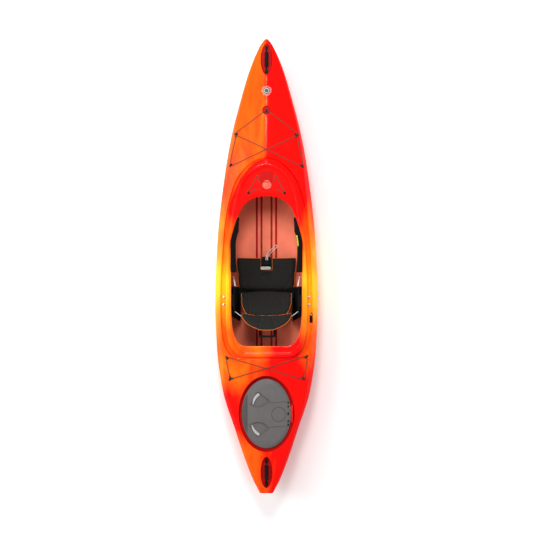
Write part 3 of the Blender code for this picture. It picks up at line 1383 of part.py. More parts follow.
def make_side_panels(hull):
    for side, word in ((1, "starboard"), (-1, "port")):
        ceiling = min(hull.up(side * (SCREW_X + dx), y + dy, 0.20)[0].z for y in SCREW_Y
                      for dx, dy in ((0.008, 0), (-0.008, 0), (0, 0.008), (0, -0.008))) - SEAT_GAP
        foot = CUSHION_BASE - SEAT_GAP - PAN_THICK - SEAT_GAP
        xs = sorted((side * SIDE_PANEL_X, side * (SIDE_PANEL_X + SIDE_PANEL_THICK)))
        shapes = [box_mesh((xs[0], SIDE_PANEL_REAR, foot - 0.006),
                           (xs[1], SIDE_PANEL_FRONT, ceiling - 0.012))]
        flange = sorted((side * SIDE_PANEL_X, side * (SCREW_X + 0.014)))
        shapes.append(box_mesh((flange[0], SCREW_Y[1] - 0.016, ceiling - 0.016),
                               (flange[1], SCREW_Y[0] + 0.016, ceiling - 0.010)))
        for y in SCREW_Y:
            shapes.append(rod_mesh((side * SCREW_X, y, ceiling - 0.012), (side * SCREW_X, y, ceiling),
                                   0.008, sides=14))
        toe = sorted((side * (SEAT_HALF_REAR - 0.016), side * (SIDE_PANEL_X + 0.002)))
        shapes.append(box_mesh((toe[0], SEAT_REAR - 0.042, foot - 0.006),
                               (toe[1], SIDE_PANEL_FRONT - 0.03, foot)))
        panel = union_of(f"seat_side_{word}", "black", shapes)
        holes = [rod_mesh((side * SCREW_X, y, ceiling - 0.03), (side * SCREW_X, y, ceiling + 0.01),
                          SCREW_SHANK + RUN_GAP, sides=12) for y in SCREW_Y]
        boolean(panel, add_object(f"seat_side_holes_{word}", joined(*holes)))
        for index, y in enumerate(SCREW_Y):
            seat = hull.down(side * (SCREW_X + 0.006), y)[0].z + SEAT_GAP
            union_of(f"seat_screw_{word}_{index + 1}", "steel", [
                rod_mesh((side * SCREW_X, y, seat), (side * SCREW_X, y, seat + 0.0035), SCREW_HEAD, 0.006,
                         sides=12),
                rod_mesh((side * SCREW_X, y, ceiling - 0.019), (side * SCREW_X, y, seat + 0.001),
                         SCREW_SHANK, sides=8)])
        start = back_point(side * 0.150, 0.250, -0.0035)
        inner = Vector((side * (SIDE_PANEL_X - 0.0030), SIDE_PANEL_REAR + 0.020, ceiling - 0.030))
        outer = start + Vector((side * 0.020, 0.004, 0.0))
        cord_object(f"backrest_cord_{word}", along([outer, inner], [i / 6 for i in range(7)]), LIFTER_CORD,
                    "pale")


def make_thigh_pads(hull):
    """Padded panels that hang inside the sides of the cockpit opening."""
    for side, word in ((1, "starboard"), (-1, "port")):
        sections = []
        for step in range(13):
            part = step / 12
            y = THIGH_FRONT + (THIGH_REAR - THIGH_FRONT) * part
            edge = outline_x(OPENING_PATH, y) - 0.0022
            top = coaming_z(y) - DASH_DROP - 0.001
            roofs = [hull.up(side * (edge + dx), y + dy, 0.15)[0]
                     for dx in (0.005, 0.012, 0.022, 0.032) for dy in (-0.016, 0.0, 0.016)]
            under = min(point.z for point in roofs if point) - 0.0012
            width = THIGH_WIDTH * min(1.0, 0.35 + 2.6 * part)
            ends = 0.5 + 0.5 * min(1.0, 6 * part, 6 * (1 - part))
            sections.append([(side * x, y, z) for x, z in (
                (edge, top), (edge - width * 0.5, top - 0.004 * ends), (edge - width, top - 0.020 * ends),
                (edge - width, top - 0.020 - THIGH_THICK * ends), (edge - 0.008, under - 0.012 * ends),
                (edge + 0.030, under - 0.010), (edge + 0.030, under), (edge, under))])
        add_object(f"thigh_pad_{word}", strip_mesh(sections), "pad")


def make_foot_braces(hull):
    for side, word in ((1, "starboard"), (-1, "port")):
        walls = [hull.side(side, y, RAIL_HEIGHT) for y in (RAIL_REAR, RAIL_FRONT)]
        gap = RAIL_STANDOFF + RAIL_THICK / 2
        rear, front = [point - Vector((side * gap, 0.0, 0.0)) for point, _ in walls]
        run = (front - rear).normalized()
        across = Vector((run.y, -run.x, 0.0)) * side
        up = Vector((0.0, 0.0, 1.0))
        frame = Matrix((across, run, up)).transposed().to_4x4()

        def laid(bm, origin):
            bmesh.ops.transform(bm, verts=bm.verts, matrix=Matrix.Translation(origin) @ frame)
            bmesh.ops.recalc_face_normals(bm, faces=bm.faces)
            return bm

        length = (front - rear).length
        bar = laid(bevelled(box_mesh((-RAIL_THICK / 2, -0.02, -RAIL_WIDTH / 2),
                                     (RAIL_THICK / 2, length + 0.02, RAIL_WIDTH / 2)), 0.0015, 1), rear)
        shapes = [bar]
        for base in (rear, front):
            wall, normal = hull.tree.find_nearest(base)[:2]
            if normal.dot(base - wall) < 0:
                normal = -normal
            shapes.append(rod_mesh(wall + normal * FIT_GAP, base, 0.006, sides=10))
        union_of(f"foot_rail_{word}", "black", shapes)
        start = rear + run * (PEDAL_START - RAIL_REAR)
        inner = -RAIL_THICK / 2 - RUN_GAP
        block = [laid(bevelled(box_mesh((inner - 0.010, -0.025, -RAIL_WIDTH / 2 - 0.010),
                                        (inner, 0.025, RAIL_WIDTH / 2 + 0.010)), 0.0015, 1), start)]
        for sign in (-1, 1):
            zs = sorted((sign * (RAIL_WIDTH / 2 + RUN_GAP), sign * (RAIL_WIDTH / 2 + 0.008)))
            block.append(laid(box_mesh((inner - 0.004, -0.022, zs[0]),
                                       (RAIL_THICK / 2 + 0.001, 0.022, zs[1])), start))
        block.append(laid(box_mesh((inner - PEDAL_REACH * 0.6, -0.005, -0.016),
                                   (inner - 0.002, 0.005, 0.016)), start))
        block.append(laid(bevelled(box_mesh(
            (inner - PEDAL_REACH, -0.006, -PEDAL_DROP), (inner - PEDAL_REACH * 0.24, 0.006,
                                                         PEDAL_HEIGHT - PEDAL_DROP)),
            0.004, 1), start))
        union_of(f"foot_pedal_{word}", "black", block, start)


def make_bulkhead_and_foam():
    room = make_cavity("fitted_room", WALL + FIT_GAP)
    bulkhead = add_object("stern_bulkhead", box_mesh(
        (-BEAM, BULKHEAD_Y - BULKHEAD_THICK / 2, -0.1), (BEAM, BULKHEAD_Y + BULKHEAD_THICK / 2, 0.5)), "foam")
    boolean(bulkhead, room, "INTERSECT")
    boolean(bulkhead, add_object("stern_bulkhead_bore", rod_mesh(
        (0.262, BULKHEAD_Y - 0.1, 0.200), (0.262, BULKHEAD_Y + 0.1, 0.200), 0.014, sides=16)))
    pillar = add_object("bow_foam_pillar", box_mesh(
        (-PILLAR_HALF, PILLAR_REAR, -0.1), (PILLAR_HALF, PILLAR_FRONT, 0.5)), "foam")
    boolean(pillar, room, "INTERSECT")
    box = add_object("skeg_box", box_mesh(
        (-SKEG_SLOT_HALF - SKEG_BOX_WALL, SKEG_REAR - SKEG_BOX_WALL, -0.1),
        (SKEG_SLOT_HALF + SKEG_BOX_WALL, SKEG_FRONT + SKEG_BOX_WALL, SKEG_BOX_TOP)), "black")
    boolean(box, room, "INTERSECT")
    boolean(box, add_object("skeg_box_inside", box_mesh(
        (-SKEG_SLOT_HALF, SKEG_REAR, -0.1), (SKEG_SLOT_HALF, SKEG_FRONT, SKEG_BOX_TOP - SKEG_BOX_WALL))))


def make_skeg(hull):
    pivot = Vector((0.0, SKEG_PIVOT_Y, SKEG_PIVOT_Z))
    half = SKEG_BLADE_THICK / 2
    bm = bmesh.new()
    side = bm.faces.new([bm.verts.new((-half, pivot.y - y, pivot.z + z)) for y, z in SKEG_PROFILE])
    grown = bmesh.ops.extrude_face_region(bm, geom=[side])["geom"]
    bmesh.ops.translate(bm, verts=[v for v in grown if isinstance(v, bmesh.types.BMVert)],
                        vec=(2 * half, 0, 0))
    bmesh.ops.recalc_face_normals(bm, faces=bm.faces)
    blade = add_object("skeg_blade", bm, "black", pivot)
    boolean(blade, add_object("skeg_blade_bore", rod_mesh(
        pivot - Vector((0.02, 0, 0)), pivot + Vector((0.02, 0, 0)), SKEG_PIN_RADIUS + RUN_GAP, sides=14)))
    reach = SKEG_SLOT_HALF - SEAT_GAP
    add_object("skeg_pin", rod_mesh(pivot - Vector((reach, 0, 0)), pivot + Vector((reach, 0, 0)),
                                    SKEG_PIN_RADIUS, sides=14), "steel")
    make_skeg_control(hull)


def make_skeg_control(hull):
    """Clam cleat, knob, fairlead and line that pull the skeg, in the pocket beside the seat."""
    seat = hull.down(CLEAT_X, CONTROL_Y)[0].z + SEAT_GAP
    half = CLEAT_WIDTH / 2
    cheeks = bevelled(box_mesh((CLEAT_X - half, CLEAT_REAR, seat),
                               (CLEAT_X + half, CLEAT_FRONT, seat + CLEAT_HEIGHT)),
                      0.0015, 1)
    base = box_mesh((CLEAT_X - half, CLEAT_REAR + 0.001, seat),
                    (CLEAT_X + half, CLEAT_FRONT + 0.0095, seat + CLEAT_BASE))
    cleat = union_of("skeg_cleat", "black", [cheeks, base])
    boolean(cleat, add_object("skeg_cleat_groove", box_mesh(
        (CLEAT_X - CLEAT_GROOVE, CLEAT_REAR - 0.01, seat + CLEAT_BASE),
        (CLEAT_X + CLEAT_GROOVE, CLEAT_FRONT + 0.02, seat + 0.03))))
    middle = Vector((CLEAT_X, KNOB_Y, seat + CLEAT_BASE + 0.0005 + KNOB_RADIUS))
    ball = bmesh.new()
    bmesh.ops.create_uvsphere(ball, u_segments=14, v_segments=8, radius=KNOB_RADIUS,
                              matrix=Matrix.Translation(middle))
    add_object("skeg_knob", ball, "pale", middle)
    x, y = FAIRLEAD_PLACE
    fairlead = union_of("skeg_fairlead", "black", [
        rod_mesh((x, y, seat), (x, y, seat + 0.003), FAIRLEAD_FLANGE, 0.0045, sides=16),
        rod_mesh((x, y, seat - WALL - 0.005), (x, y, seat + 0.001), FAIRLEAD_STEM, sides=14)])
    boolean(fairlead, add_object("skeg_fairlead_bore", rod_mesh(
        (x, y, seat - 0.02), (x, y, seat + 0.02), FAIRLEAD_BORE, sides=12)))
    route = [(x, y, seat + 0.0005), (x, y, seat - 0.007), (x, y, seat - 0.014),
             (x - 0.002, y - 0.008, seat - 0.030),
             (x - 0.006, y - 0.060, seat - 0.050), (x - 0.014, -0.560, 0.215), (0.262, BULKHEAD_Y, 0.200),
             (0.190, -0.960, 0.185), (0.085, -1.160, 0.150), (0.030, -1.245, 0.122), SKEG_LINE_END]
    shares = [0.0, 0.007, 0.014, 0.022, 0.034, 0.052] + [i / 26 for i in range(2, 27)]
    cord_object("skeg_line", along(smooth_path(route, 16), shares), SKEG_LINE, "pale")


def make_drain_plug():
    stern = -LENGTH / 2
    face = stern + 0.0015
    place = Vector((0.0, face, DRAIN_HEIGHT))
    shapes = [rod_mesh(place, (0.0, stern + DRAIN_DEPTH - SEAT_GAP, DRAIN_HEIGHT), DRAIN_RADIUS, sides=24),
              rod_mesh((0.0, stern + DRAIN_DEPTH - 0.002, DRAIN_HEIGHT), (0.0, stern + 0.021, DRAIN_HEIGHT),
                       DRAIN_STEM, sides=16)]
    plug = union_of("drain_plug", "black", shapes, place)
    for side in (-1, 1):
        xs = sorted((side * 0.0022, side * 0.0100))
        boolean(plug, add_object(f"drain_plug_slot_{side + 2}", box_mesh(
            (xs[0], face - 0.01, DRAIN_HEIGHT - 0.007), (xs[1], face + 0.003, DRAIN_HEIGHT + 0.007))))


def main():
    clear_scene()
    hull = make_hull()
    surface = Surface(hull)
    make_rigging(surface)
    make_handle("bow", BOW_HANDLE_Y)
    make_handle("stern", STERN_HANDLE_Y)
    make_hatch()
    make_seat(surface)
    make_backrest()
    make_thigh_pads(surface)
    make_foot_braces(surface)
    make_bulkhead_and_foam()
    make_skeg(surface)
    make_drain_plug()


main()
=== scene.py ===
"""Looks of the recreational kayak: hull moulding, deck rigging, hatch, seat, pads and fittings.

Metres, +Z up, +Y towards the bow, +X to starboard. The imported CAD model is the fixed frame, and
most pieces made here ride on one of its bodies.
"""

import math

import bmesh
import bpy
from bpy.props import FloatProperty, FloatVectorProperty, IntProperty, PointerProperty
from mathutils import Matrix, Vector
from mathutils.bvhtree import BVHTree


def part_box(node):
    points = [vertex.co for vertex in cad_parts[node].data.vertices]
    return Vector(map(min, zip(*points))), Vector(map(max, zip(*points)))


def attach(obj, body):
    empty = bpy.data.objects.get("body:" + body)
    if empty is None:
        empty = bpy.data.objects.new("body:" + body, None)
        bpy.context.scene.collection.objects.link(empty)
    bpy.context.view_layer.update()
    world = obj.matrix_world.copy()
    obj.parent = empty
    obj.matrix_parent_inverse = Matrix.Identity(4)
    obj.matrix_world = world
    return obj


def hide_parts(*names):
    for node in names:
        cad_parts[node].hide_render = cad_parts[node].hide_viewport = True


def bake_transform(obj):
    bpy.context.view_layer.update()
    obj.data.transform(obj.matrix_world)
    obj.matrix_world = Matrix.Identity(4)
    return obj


bl_info = {
    "name": "Recreational Kayak",
    "version": (1, 0, 0),
    "blender": (4, 5, 0),
    "location": "View3D > Sidebar > Kayak",
    "description": "Dresses a kayak frame with its moulding, rigging, hatch and seat",
    "category": "Object",
}

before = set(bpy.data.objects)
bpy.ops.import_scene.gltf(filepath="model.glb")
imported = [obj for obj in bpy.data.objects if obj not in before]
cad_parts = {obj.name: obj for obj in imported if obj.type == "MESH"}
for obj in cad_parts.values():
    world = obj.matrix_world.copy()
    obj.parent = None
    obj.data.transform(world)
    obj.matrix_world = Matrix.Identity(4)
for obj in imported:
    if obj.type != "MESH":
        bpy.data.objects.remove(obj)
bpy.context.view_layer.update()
BOAT = "boat"
UP = Vector((0.0, 0.0, 1.0))
OVERHEAD = 0.6  # Height above all of the boat, where cutters end and rays downwards start
# The groove and recess places of the hull hold darker reds: painted shade in the floor grooves and in the
# deck's hollows
INSIDE, GROOVE, RECESS = 1, 2, 3  # Places in the hull's list of materials
# The lid's second place holds a darker copy of its grey, painted shade on its port slope and ribs; the third
# holds black, painted shade in its slots
PAINTED_SHADE, PAINTED_SLOT_SHADE, KNUCKLE = 1, 2, 3  # Places in the hatch lid's list of materials

# Lines of the hull, each against the share of the half length, from the stern at -1 to the bow at 1
HALF_BREADTH = [
    (-1.0, 0.129), (-0.948, 0.248), (-0.859, 0.406), (-0.726, 0.604), (-0.548, 0.851),
    (-0.371, 0.960), (-0.149, 1.0), (0.118, 0.951), (0.384, 0.822), (0.561, 0.693),
    (0.739, 0.495), (0.872, 0.317), (0.961, 0.150), (0.985, 0.088), (0.996, 0.046), (1.0, 0.030),
]
KEEL_HEIGHT = [
    (-1.0, 0.100), (-0.95, 0.060), (-0.85, 0.025), (-0.66, 0.004), (-0.56, 0.0),
    (0.56, 0.0), (0.72, 0.006), (0.86, 0.034), (0.94, 0.085), (0.98, 0.160), (1.0, 0.270),
]
SEAM_HEIGHT = [(-1.0, 0.285), (-0.6, 0.250), (-0.15, 0.240), (0.3, 0.248), (0.7, 0.275), (1.0, 0.315)]
FACET_WIDTH = [
    (-1.0, 0.014), (-0.6, 0.034), (-0.35, 0.035), (0.0, 0.030), (0.3, 0.038), (0.52, 0.021), (1.0, 0.004),
]
FACET_RISE = [(-1.0, 0.020), (-0.6, 0.035), (-0.15, 0.058), (0.3, 0.055), (0.6, 0.035), (1.0, 0.012)]
RIDGE_HEIGHT = [
    (-1.0, 0.313), (-0.65, 0.312), (-0.42, 0.318), (0.0, 0.330), (0.48, 0.352), (0.75, 0.354), (1.0, 0.343),
]
DECK_POWER = [(-1.0, 1.3), (-0.8, 1.6), (-0.5, 2.2), (0.2, 2.0), (0.45, 1.3), (1.0, 1.1)]
FULLNESS = [(-1.0, 1.6), (-0.8, 2.0), (-0.5, 2.8), (0.0, 3.2), (0.5, 2.6), (0.8, 1.9), (1.0, 1.5)]
COAMING_HEIGHT = [(-0.45, 0.326), (-0.15, 0.334), (0.1, 0.342), (0.46, 0.370)]
BOW_NOSE = 0.060
STERN_NOSE = 0.012
BOW_PLATE_HALF = 0.010
KEEL_FLAT_HALF = 0.030
END_LIFT = 0.002

# Cockpit, as half outlines from the front middle round starboard to the rear middle
SURROUND = (0.652, 0.770, -0.664, [
    (0.0, 1.0), (0.22, 0.988), (0.44, 0.953), (0.645, 0.895), (0.77, 0.822), (0.868, 0.731),
    (0.935, 0.603), (0.985, 0.43), (1.0, 0.289), (0.985, 0.16), (0.90, 0.062), (0.68, 0.010),
    (0.40, 0.0), (0.0, 0.0)])
COAMING = (0.576, 0.733, -0.640, [
    (0.0, 1.0), (0.22, 0.986), (0.455, 0.952), (0.60, 0.910), (0.72, 0.850), (0.84, 0.745),
    (0.935, 0.60), (0.985, 0.44), (1.0, 0.289), (0.985, 0.155), (0.89, 0.055), (0.68, 0.008),
    (0.40, 0.0), (0.0, 0.0)])
OPENING = (0.511, 0.497, -0.564, [
    (0.0, 1.0), (0.24, 0.994), (0.46, 0.975), (0.67, 0.931), (0.78, 0.875), (0.86, 0.825),
    (0.985, 0.71), (1.0, 0.64), (0.99, 0.40), (0.985, 0.22), (0.935, 0.10), (0.80, 0.025),
    (0.60, 0.0), (0.30, 0.0), (0.0, 0.0)])
SIDE_FROM = 0.30
SIDE_TO = -0.44
SHOULDER = 0.004
GUTTER_DEPTH = 0.012
GUTTER_WALL = 0.006
COAMING_BAND = 0.034
COAMING_NECK = 0.006
LEDGE = 0.004
LIP = 0.012
DASH_DROP = 0.014
FLOOR_GROOVES = (0.0365, 0.0705)
GROOVE_HALF = 0.0075
GROOVE_DEPTH = 0.0022
GROOVE_FROM = -0.62
GROOVE_TO = 0.90

# Places on the deck, and fittings shared with the frame
HANDLE_HALF_LENGTH = 0.094
HANDLE_RECESS_HALF_WIDTH = 0.036
HANDLE_RECESS_DEPTH = 0.016
BOW_HANDLE_Y = 1.455
STERN_HANDLE_Y = -1.452
BADGE_Y = 1.233
BOSS_RADIUS = 0.0365
BOSS_RISE = 0.0012
SCOOP_Y = 1.098
SCOOP_RADIUS = 0.028
SCOOP_DEPTH = 0.010
DASH_TRAY = [(-0.031, 0.532), (0.031, 0.532), (0.054, 0.668), (-0.054, 0.668)]
HATCH_Y = -1.039
HATCH_HALF_WIDTH = 0.174
HATCH_HALF_LENGTH = 0.246
HATCH_RECESS = 0.020
HATCH_LAND = 0.018
HATCH_SEAT = 0.281
SCREW_X = 0.3025
SCREW_Y = (-0.217, -0.270)
SCREW_POCKET = (0.016, 0.068)
CONTROL_POCKET = (0.014, 0.048)
CONTROL_PLACE = (0.3150, -0.372)
LINE_HOLE = (0.3195, -0.3325)
SKEG_SLOT = (0.0065, -1.505, -1.235)
DRAIN_HEIGHT = 0.215


class HullSettings(bpy.types.PropertyGroup):
    length: FloatProperty(name="Length", description="Overall length of the moulding", default=3.20,
                          unit="LENGTH")
    beam: FloatProperty(name="Beam", description="Width at the widest place", default=0.73, unit="LENGTH")
    wall: FloatProperty(name="Wall", description="Thickness of the moulded plastic", default=0.005,
                        unit="LENGTH")
    stations: IntProperty(name="Stations", description="Sections along the hull", default=96)
    end_colour: FloatVectorProperty(
        name="End Colour", description="Pigment at bow and stern", subtype="COLOR", size=3,
        default=(0.82, 0.003, 0.001))
    blend_colour: FloatVectorProperty(
        name="Blend Colour", description="Pigment where the two ends meet the middle", subtype="COLOR", size=3,
        default=(0.95, 0.13, 0.004))
    middle_colour: FloatVectorProperty(
        name="Middle Colour", description="Pigment amidships", subtype="COLOR", size=3, default=(1.0, 0.52,
                                                                                                 0.015))
    inside_colour: FloatVectorProperty(
        name="Inside Colour", description="Bare inner face of the moulding", subtype="COLOR", size=3,
        default=(0.95, 0.25, 0.14))


class StageSettings(bpy.types.PropertyGroup):
    camera_height: FloatProperty(
        name="Camera Height", description="Camera above the floor", default=9.0, unit="LENGTH")
    frame_width: FloatProperty(
        name="Frame Width", description="Width of the picture at deck height", default=3.784, unit="LENGTH")
    floor_colour: FloatVectorProperty(
        name="Floor Colour", description="Seamless studio floor", subtype="COLOR", size=3,
        default=(0.93, 0.93, 0.93))


def settings():
    return bpy.context.scene.kayak_hull


def curve_at(table, where):
    """Smooth value of a table at a place, with no overshoot between its rows."""
    if where <= table[0][0]:
        return table[0][1]
    if where >= table[-1][0]:
        return table[-1][1]
    spans = [(b[1] - a[1]) / (b[0] - a[0]) for a, b in zip(table, table[1:])]

    def slope(index):
        if index == 0 or index == len(table) - 1:
            return spans[min(index, len(spans) - 1)]
        before, after = spans[index - 1], spans[index]
        if before * after <= 0.0:
            return 0.0
        return 2.0 * before * after / (before + after)

    for index in range(len(spans)):
        low, high = table[index], table[index + 1]
        if where <= high[0]:
            width = high[0] - low[0]
            s = (where - low[0]) / width
            rise = 2 * s ** 3 - 3 * s ** 2 + 1
            bend = s ** 3 - 2 * s ** 2 + s
            tail = s ** 3 - s ** 2
            return (rise * low[1] + bend * width * slope(index)
                    + (1 - rise) * high[1] + tail * width * slope(index + 1))
    return table[-1][1]


def share(y):
    return y / (settings().length / 2)


def half_breadth(y):
    return max(settings().beam / 2 * curve_at(HALF_BREADTH, share(y)), BOW_PLATE_HALF)


def facet_x(y):
    return half_breadth(y) - min(curve_at(FACET_WIDTH, share(y)), 0.5 * half_breadth(y))


def facet_z(y):
    return curve_at(SEAM_HEIGHT, share(y)) + curve_at(FACET_RISE, share(y))


def deck_z(x, y):
    """Height of the plain deck, without its cockpit, boss and recesses."""
    part = min(abs(x) / facet_x(y), 1.0)
    low = facet_z(y)
    return low + (curve_at(RIDGE_HEIGHT, share(y)) - low) * (1.0 - part ** curve_at(DECK_POWER, share(y)))


def coaming_z(y):
    return curve_at(COAMING_HEIGHT, share(y))


def bottom_z(x, y, inset):
    """Height of the bottom's inner or outer skin."""
    width = half_breadth(y) - inset
    low = curve_at(KEEL_HEIGHT, share(y)) + inset
    seam = curve_at(SEAM_HEIGHT, share(y))
    full = curve_at(FULLNESS, share(y))
    part = min(abs(x) / width, 1.0)
    return seam - (seam - low) * (1.0 - part ** full) ** (1.0 / full)


def smooth_path(points, steps=24):
    """Points along a smooth curve through given ones, ends included."""
    pts = [Vector(p) for p in points]
    ahead = [pts[0] * 2 - pts[1]] + pts + [pts[-1] * 2 - pts[-2]]
    path = []
    for i in range(len(pts) - 1):
        a, b, c, d = ahead[i:i + 4]
        for j in range(steps):
            s = j / steps
            path.append(0.5 * ((2 * b) + (c - a) * s + (2 * a - 5 * b + 4 * c - d) * s ** 2
                               + (3 * b - a - 3 * c + d) * s ** 3))
    path.append(pts[-1])
    return path


def path_length(points):
    return sum((b - a).length for a, b in zip(points, points[1:]))


def along(path, shares):
    """Points at the given shares of a path's length."""
    marks = [0.0]
    for a, b in zip(path, path[1:]):
        marks.append(marks[-1] + (b - a).length)
    found = []
    index = 1
    for part in shares:
        want = part * marks[-1]
        while index < len(marks) - 1 and marks[index] < want:
            index += 1
        while index > 1 and marks[index - 1] > want:
            index -= 1
        span = max(marks[index] - marks[index - 1], 1e-9)
        found.append(path[index - 1].lerp(path[index], (want - marks[index - 1]) / span))
    return found


def outline_path(outline):
    width, front, rear, shape = outline
    path = smooth_path([(x * width / 2, rear + part * (front - rear), 0.0) for x, part in shape])
    for point in path:
        point.x = max(point.x, 0.0)
    return path


SURROUND_PATH = outline_path(SURROUND)
COAMING_PATH = outline_path(COAMING)
OPENING_PATH = outline_path(OPENING)


def share_at_y(path, y):
    done = 0.0
    for a, b in zip(path, path[1:]):
        if b.y <= y and b.x > 0.2 * a.x:
            return done / path_length(path)
        done += (b - a).length
    return 1.0


def outline_x(path, y):
    """Half width of a cockpit outline at a place along the boat, or a negative number beyond it."""
    widest = -1.0
    for a, b in zip(path, path[1:]):
        if b.y <= y <= a.y and a.y > b.y:
            widest = max(widest, a.lerp(b, (a.y - y) / (a.y - b.y)).x)
    return widest


def moved_out(points, distance):
    """A half outline moved outwards, keeping its two ends on the middle line."""
    result = []
    for index, point in enumerate(points):
        before = points[max(index - 1, 0)]
        after = points[min(index + 1, len(points) - 1)]
        run = after - before
        normal = Vector((-run.y, run.x, 0.0)).normalized()
        if index == 0:
            normal = Vector((0.0, 1.0, 0.0))
        if index == len(points) - 1:
            normal = Vector((0.0, -1.0, 0.0))
        result.append(point + normal * distance)
    return result


def station_ys(front, rear, count):
    """Places of the hull's stations from bow to stern, closer together towards the ends."""
    ys = []
    for index in range(count):
        part = index / (count - 1)
        mixed = 0.25 * (1 - math.cos(math.pi * part)) + 0.5 * part
        ys.append(front + (rear - front) * mixed)
    return ys


def column_points(path, ys):
    """One point of a cockpit outline for each column of the hull, middle columns included."""
    count = len(ys)
    first = sum(1 for y in ys if y > SIDE_FROM)
    last = sum(1 for y in ys if y > SIDE_TO)
    share_first = share_at_y(path, SIDE_FROM)
    share_last = share_at_y(path, SIDE_TO)
    shares = []
    for index in range(count + 2):
        if index <= first:
            shares.append(share_first * index / first)
        elif index <= last:
            shares.append(share_first + (share_last - share_first) * (index - first) / (last - first))
        else:
            shares.append(share_last + (1 - share_last) * (index - last) / (count + 1 - last))
    return along(path, shares)


def bridged(rings, closed=True, caps=True):
    """Skin through rings of points, each joined to the next point by point, and its ends filled."""
    bm = bmesh.new()
    rows = [[bm.verts.new(point) for point in ring] for ring in rings]
    for a, b in zip(rows, rows[1:]):
        for i in range(len(a) if closed else len(a) - 1):
            j = (i + 1) % len(a)
            bm.faces.new((a[i], a[j], b[j], b[i]))
    if caps:
        for row in (rows[0], rows[-1]):
            bm.faces.new(row)
    bmesh.ops.recalc_face_normals(bm, faces=bm.faces)
    return bm


def smoothed(mesh, angle):
    mesh.shade_smooth()
    mesh.set_sharp_from_angle(angle=math.radians(angle))


def piece(name, bm, body, finish, slot=None, replaces=(), angle=35.0, smooth=True):
    """Finishes a bmesh as a piece that rides on a body of the frame."""
    mesh = bpy.data.meshes.new(name)
    bm.to_mesh(mesh)
    bm.free()
    item = bpy.data.objects.new(name, mesh)
    bpy.context.scene.collection.objects.link(item)
    for made in finish if isinstance(finish, (list, tuple)) else [finish]:
        mesh.materials.append(made)
    if smooth:
        smoothed(mesh, angle)
    if body:
        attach(item, body)
    if replaces:
        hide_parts(*replaces)
    return item


def prism(points, low, high):
    """Upright solid over a plan outline."""
    return bridged([[(x, y, low) for x, y in points], [(x, y, high) for x, y in points]])


def oval(half_x, half_y, centre=(0.0, 0.0), count=96):
    return [(centre[0] + half_x * math.cos(2 * math.pi * i / count),
             centre[1] + half_y * math.sin(2 * math.pi * i / count)) for i in range(count)]


def stadium(half_x, half_y, centre=(0.0, 0.0), arc=20):
    """Plan outline with straight sides and round ends, long along Y."""
    points = []
    for end, start in ((1, 0.0), (-1, math.pi)):
        for i in range(arc + 1):
            angle = start + math.pi * i / arc
            points.append((centre[0] + half_x * math.cos(angle),
                           centre[1] + end * (half_y - half_x) + half_x * math.sin(angle)))
    return points


def outset(points, distance):
    """A closed anticlockwise plan outline moved outwards."""
    result = []
    for index, point in enumerate(points):
        before, after = Vector(points[index - 1]), Vector(points[(index + 1) % len(points)])
        run = (after - before).normalized()
        result.append((point[0] + run.y * distance, point[1] - run.x * distance))
    return result


def flared_recess(points, floor, radius, base_radius=0.003):
    """Cutter for a moulded recess: flat floor, upright wall, and a rim rounded over onto the deck."""
    rings = [[(x, y, floor) for x, y in outset(points, -base_radius)]]
    for i in range(1, 4):
        a = math.pi / 2 * i / 3
        rings.append([(x, y, floor + base_radius * (1 - math.cos(a)))
                      for x, y in outset(points, -base_radius * (1 - math.sin(a)))])
    for i in range(0, 5):
        a = math.pi / 2 * i / 4 * 0.94
        ring = []
        for x, y in outset(points, radius * (1 - math.cos(a))):
            ring.append((x, y, max(deck_z(x, y) - radius * (1 - math.sin(a)) + 0.0003,
                                   floor + base_radius + 0.0002 * (i + 1))))
        rings.append(ring)
    rings.append([(x, y, OVERHEAD) for x, y in outset(points, radius * 1.3)])
    return bridged(rings)


def mirrored_ring(half):
    """Whole ring from a half outline that starts and ends on the middle line."""
    return half + [Vector((-p.x, p.y, p.z)) for p in reversed(half[1:-1])]


def at_heights(points, heights):
    """The plan places of points, each at its own height."""
    return [Vector((p.x, p.y, z)) for p, z in zip(points, heights)]


def between(starts, ends, part):
    """Points part of the way from each point of one line to the same point of another."""
    return [a.lerp(b, part) for a, b in zip(starts, ends)]


def bottom_rings(ys, inset, angles):
    """Columns of a skin with their places along the boat, and its rings from the keel up to the seam."""
    grid = list(zip([0.0] + [half_breadth(y) - inset for y in ys] + [0.0], [ys[0]] + ys + [ys[-1]]))
    rings = [[Vector((0.55 * min(KEEL_FLAT_HALF, 0.5 * x), y,
                      curve_at(KEEL_HEIGHT, share(y)) + inset + (0 if x else END_LIFT))) for x, y in grid]]
    for angle in angles:
        ring = []
        for x, y in grid:
            power = 2.0 / curve_at(FULLNESS, share(y))
            seam = curve_at(SEAM_HEIGHT, share(y))
            low = curve_at(KEEL_HEIGHT, share(y)) + inset
            wide = math.sin(math.radians(angle)) ** power
            high = math.cos(math.radians(angle)) ** power if angle < 90 else 0.0
            lift = END_LIFT * (1 - angle / 90) if x == 0.0 else 0.0
            ring.append(Vector((x * wide, y, seam - (seam - low) * high + lift)))
        rings.append(ring)
    return grid, rings


def outer_rings():
    """Rings of the outer skin, from the keel up the side, over the deck and round the coaming."""
    half = settings().length / 2
    ys = station_ys(half, -half, settings().stations)
    grid, rings = bottom_rings(ys, 0.0, (8, 15, 22, 30, 38, 46, 54, 62, 70, 77, 83, 88, 90))
    seam_ring, facet = rings[-1], []
    for x, y in grid:
        reach = max(facet_x(y), outline_x(SURROUND_PATH, y) + SHOULDER)
        facet.append(Vector((min(reach, x), y, facet_z(y))))
    for part in (0.12, 0.5, 0.88):
        rings.append([point + Vector((0, 0, 0.0010)) for point in between(seam_ring, facet, part)])
    surround = column_points(SURROUND_PATH, ys)
    for part in (0.02, 0.08, 0.16, 0.25, 0.34, 0.43, 0.52, 0.61, 0.70, 0.78, 0.86, 0.93, 0.975):
        ring = between(facet, surround, part)
        rings.append(at_heights(ring, [deck_z(p.x, p.y) for p in ring]))
    return rings + cockpit_rings(ys)


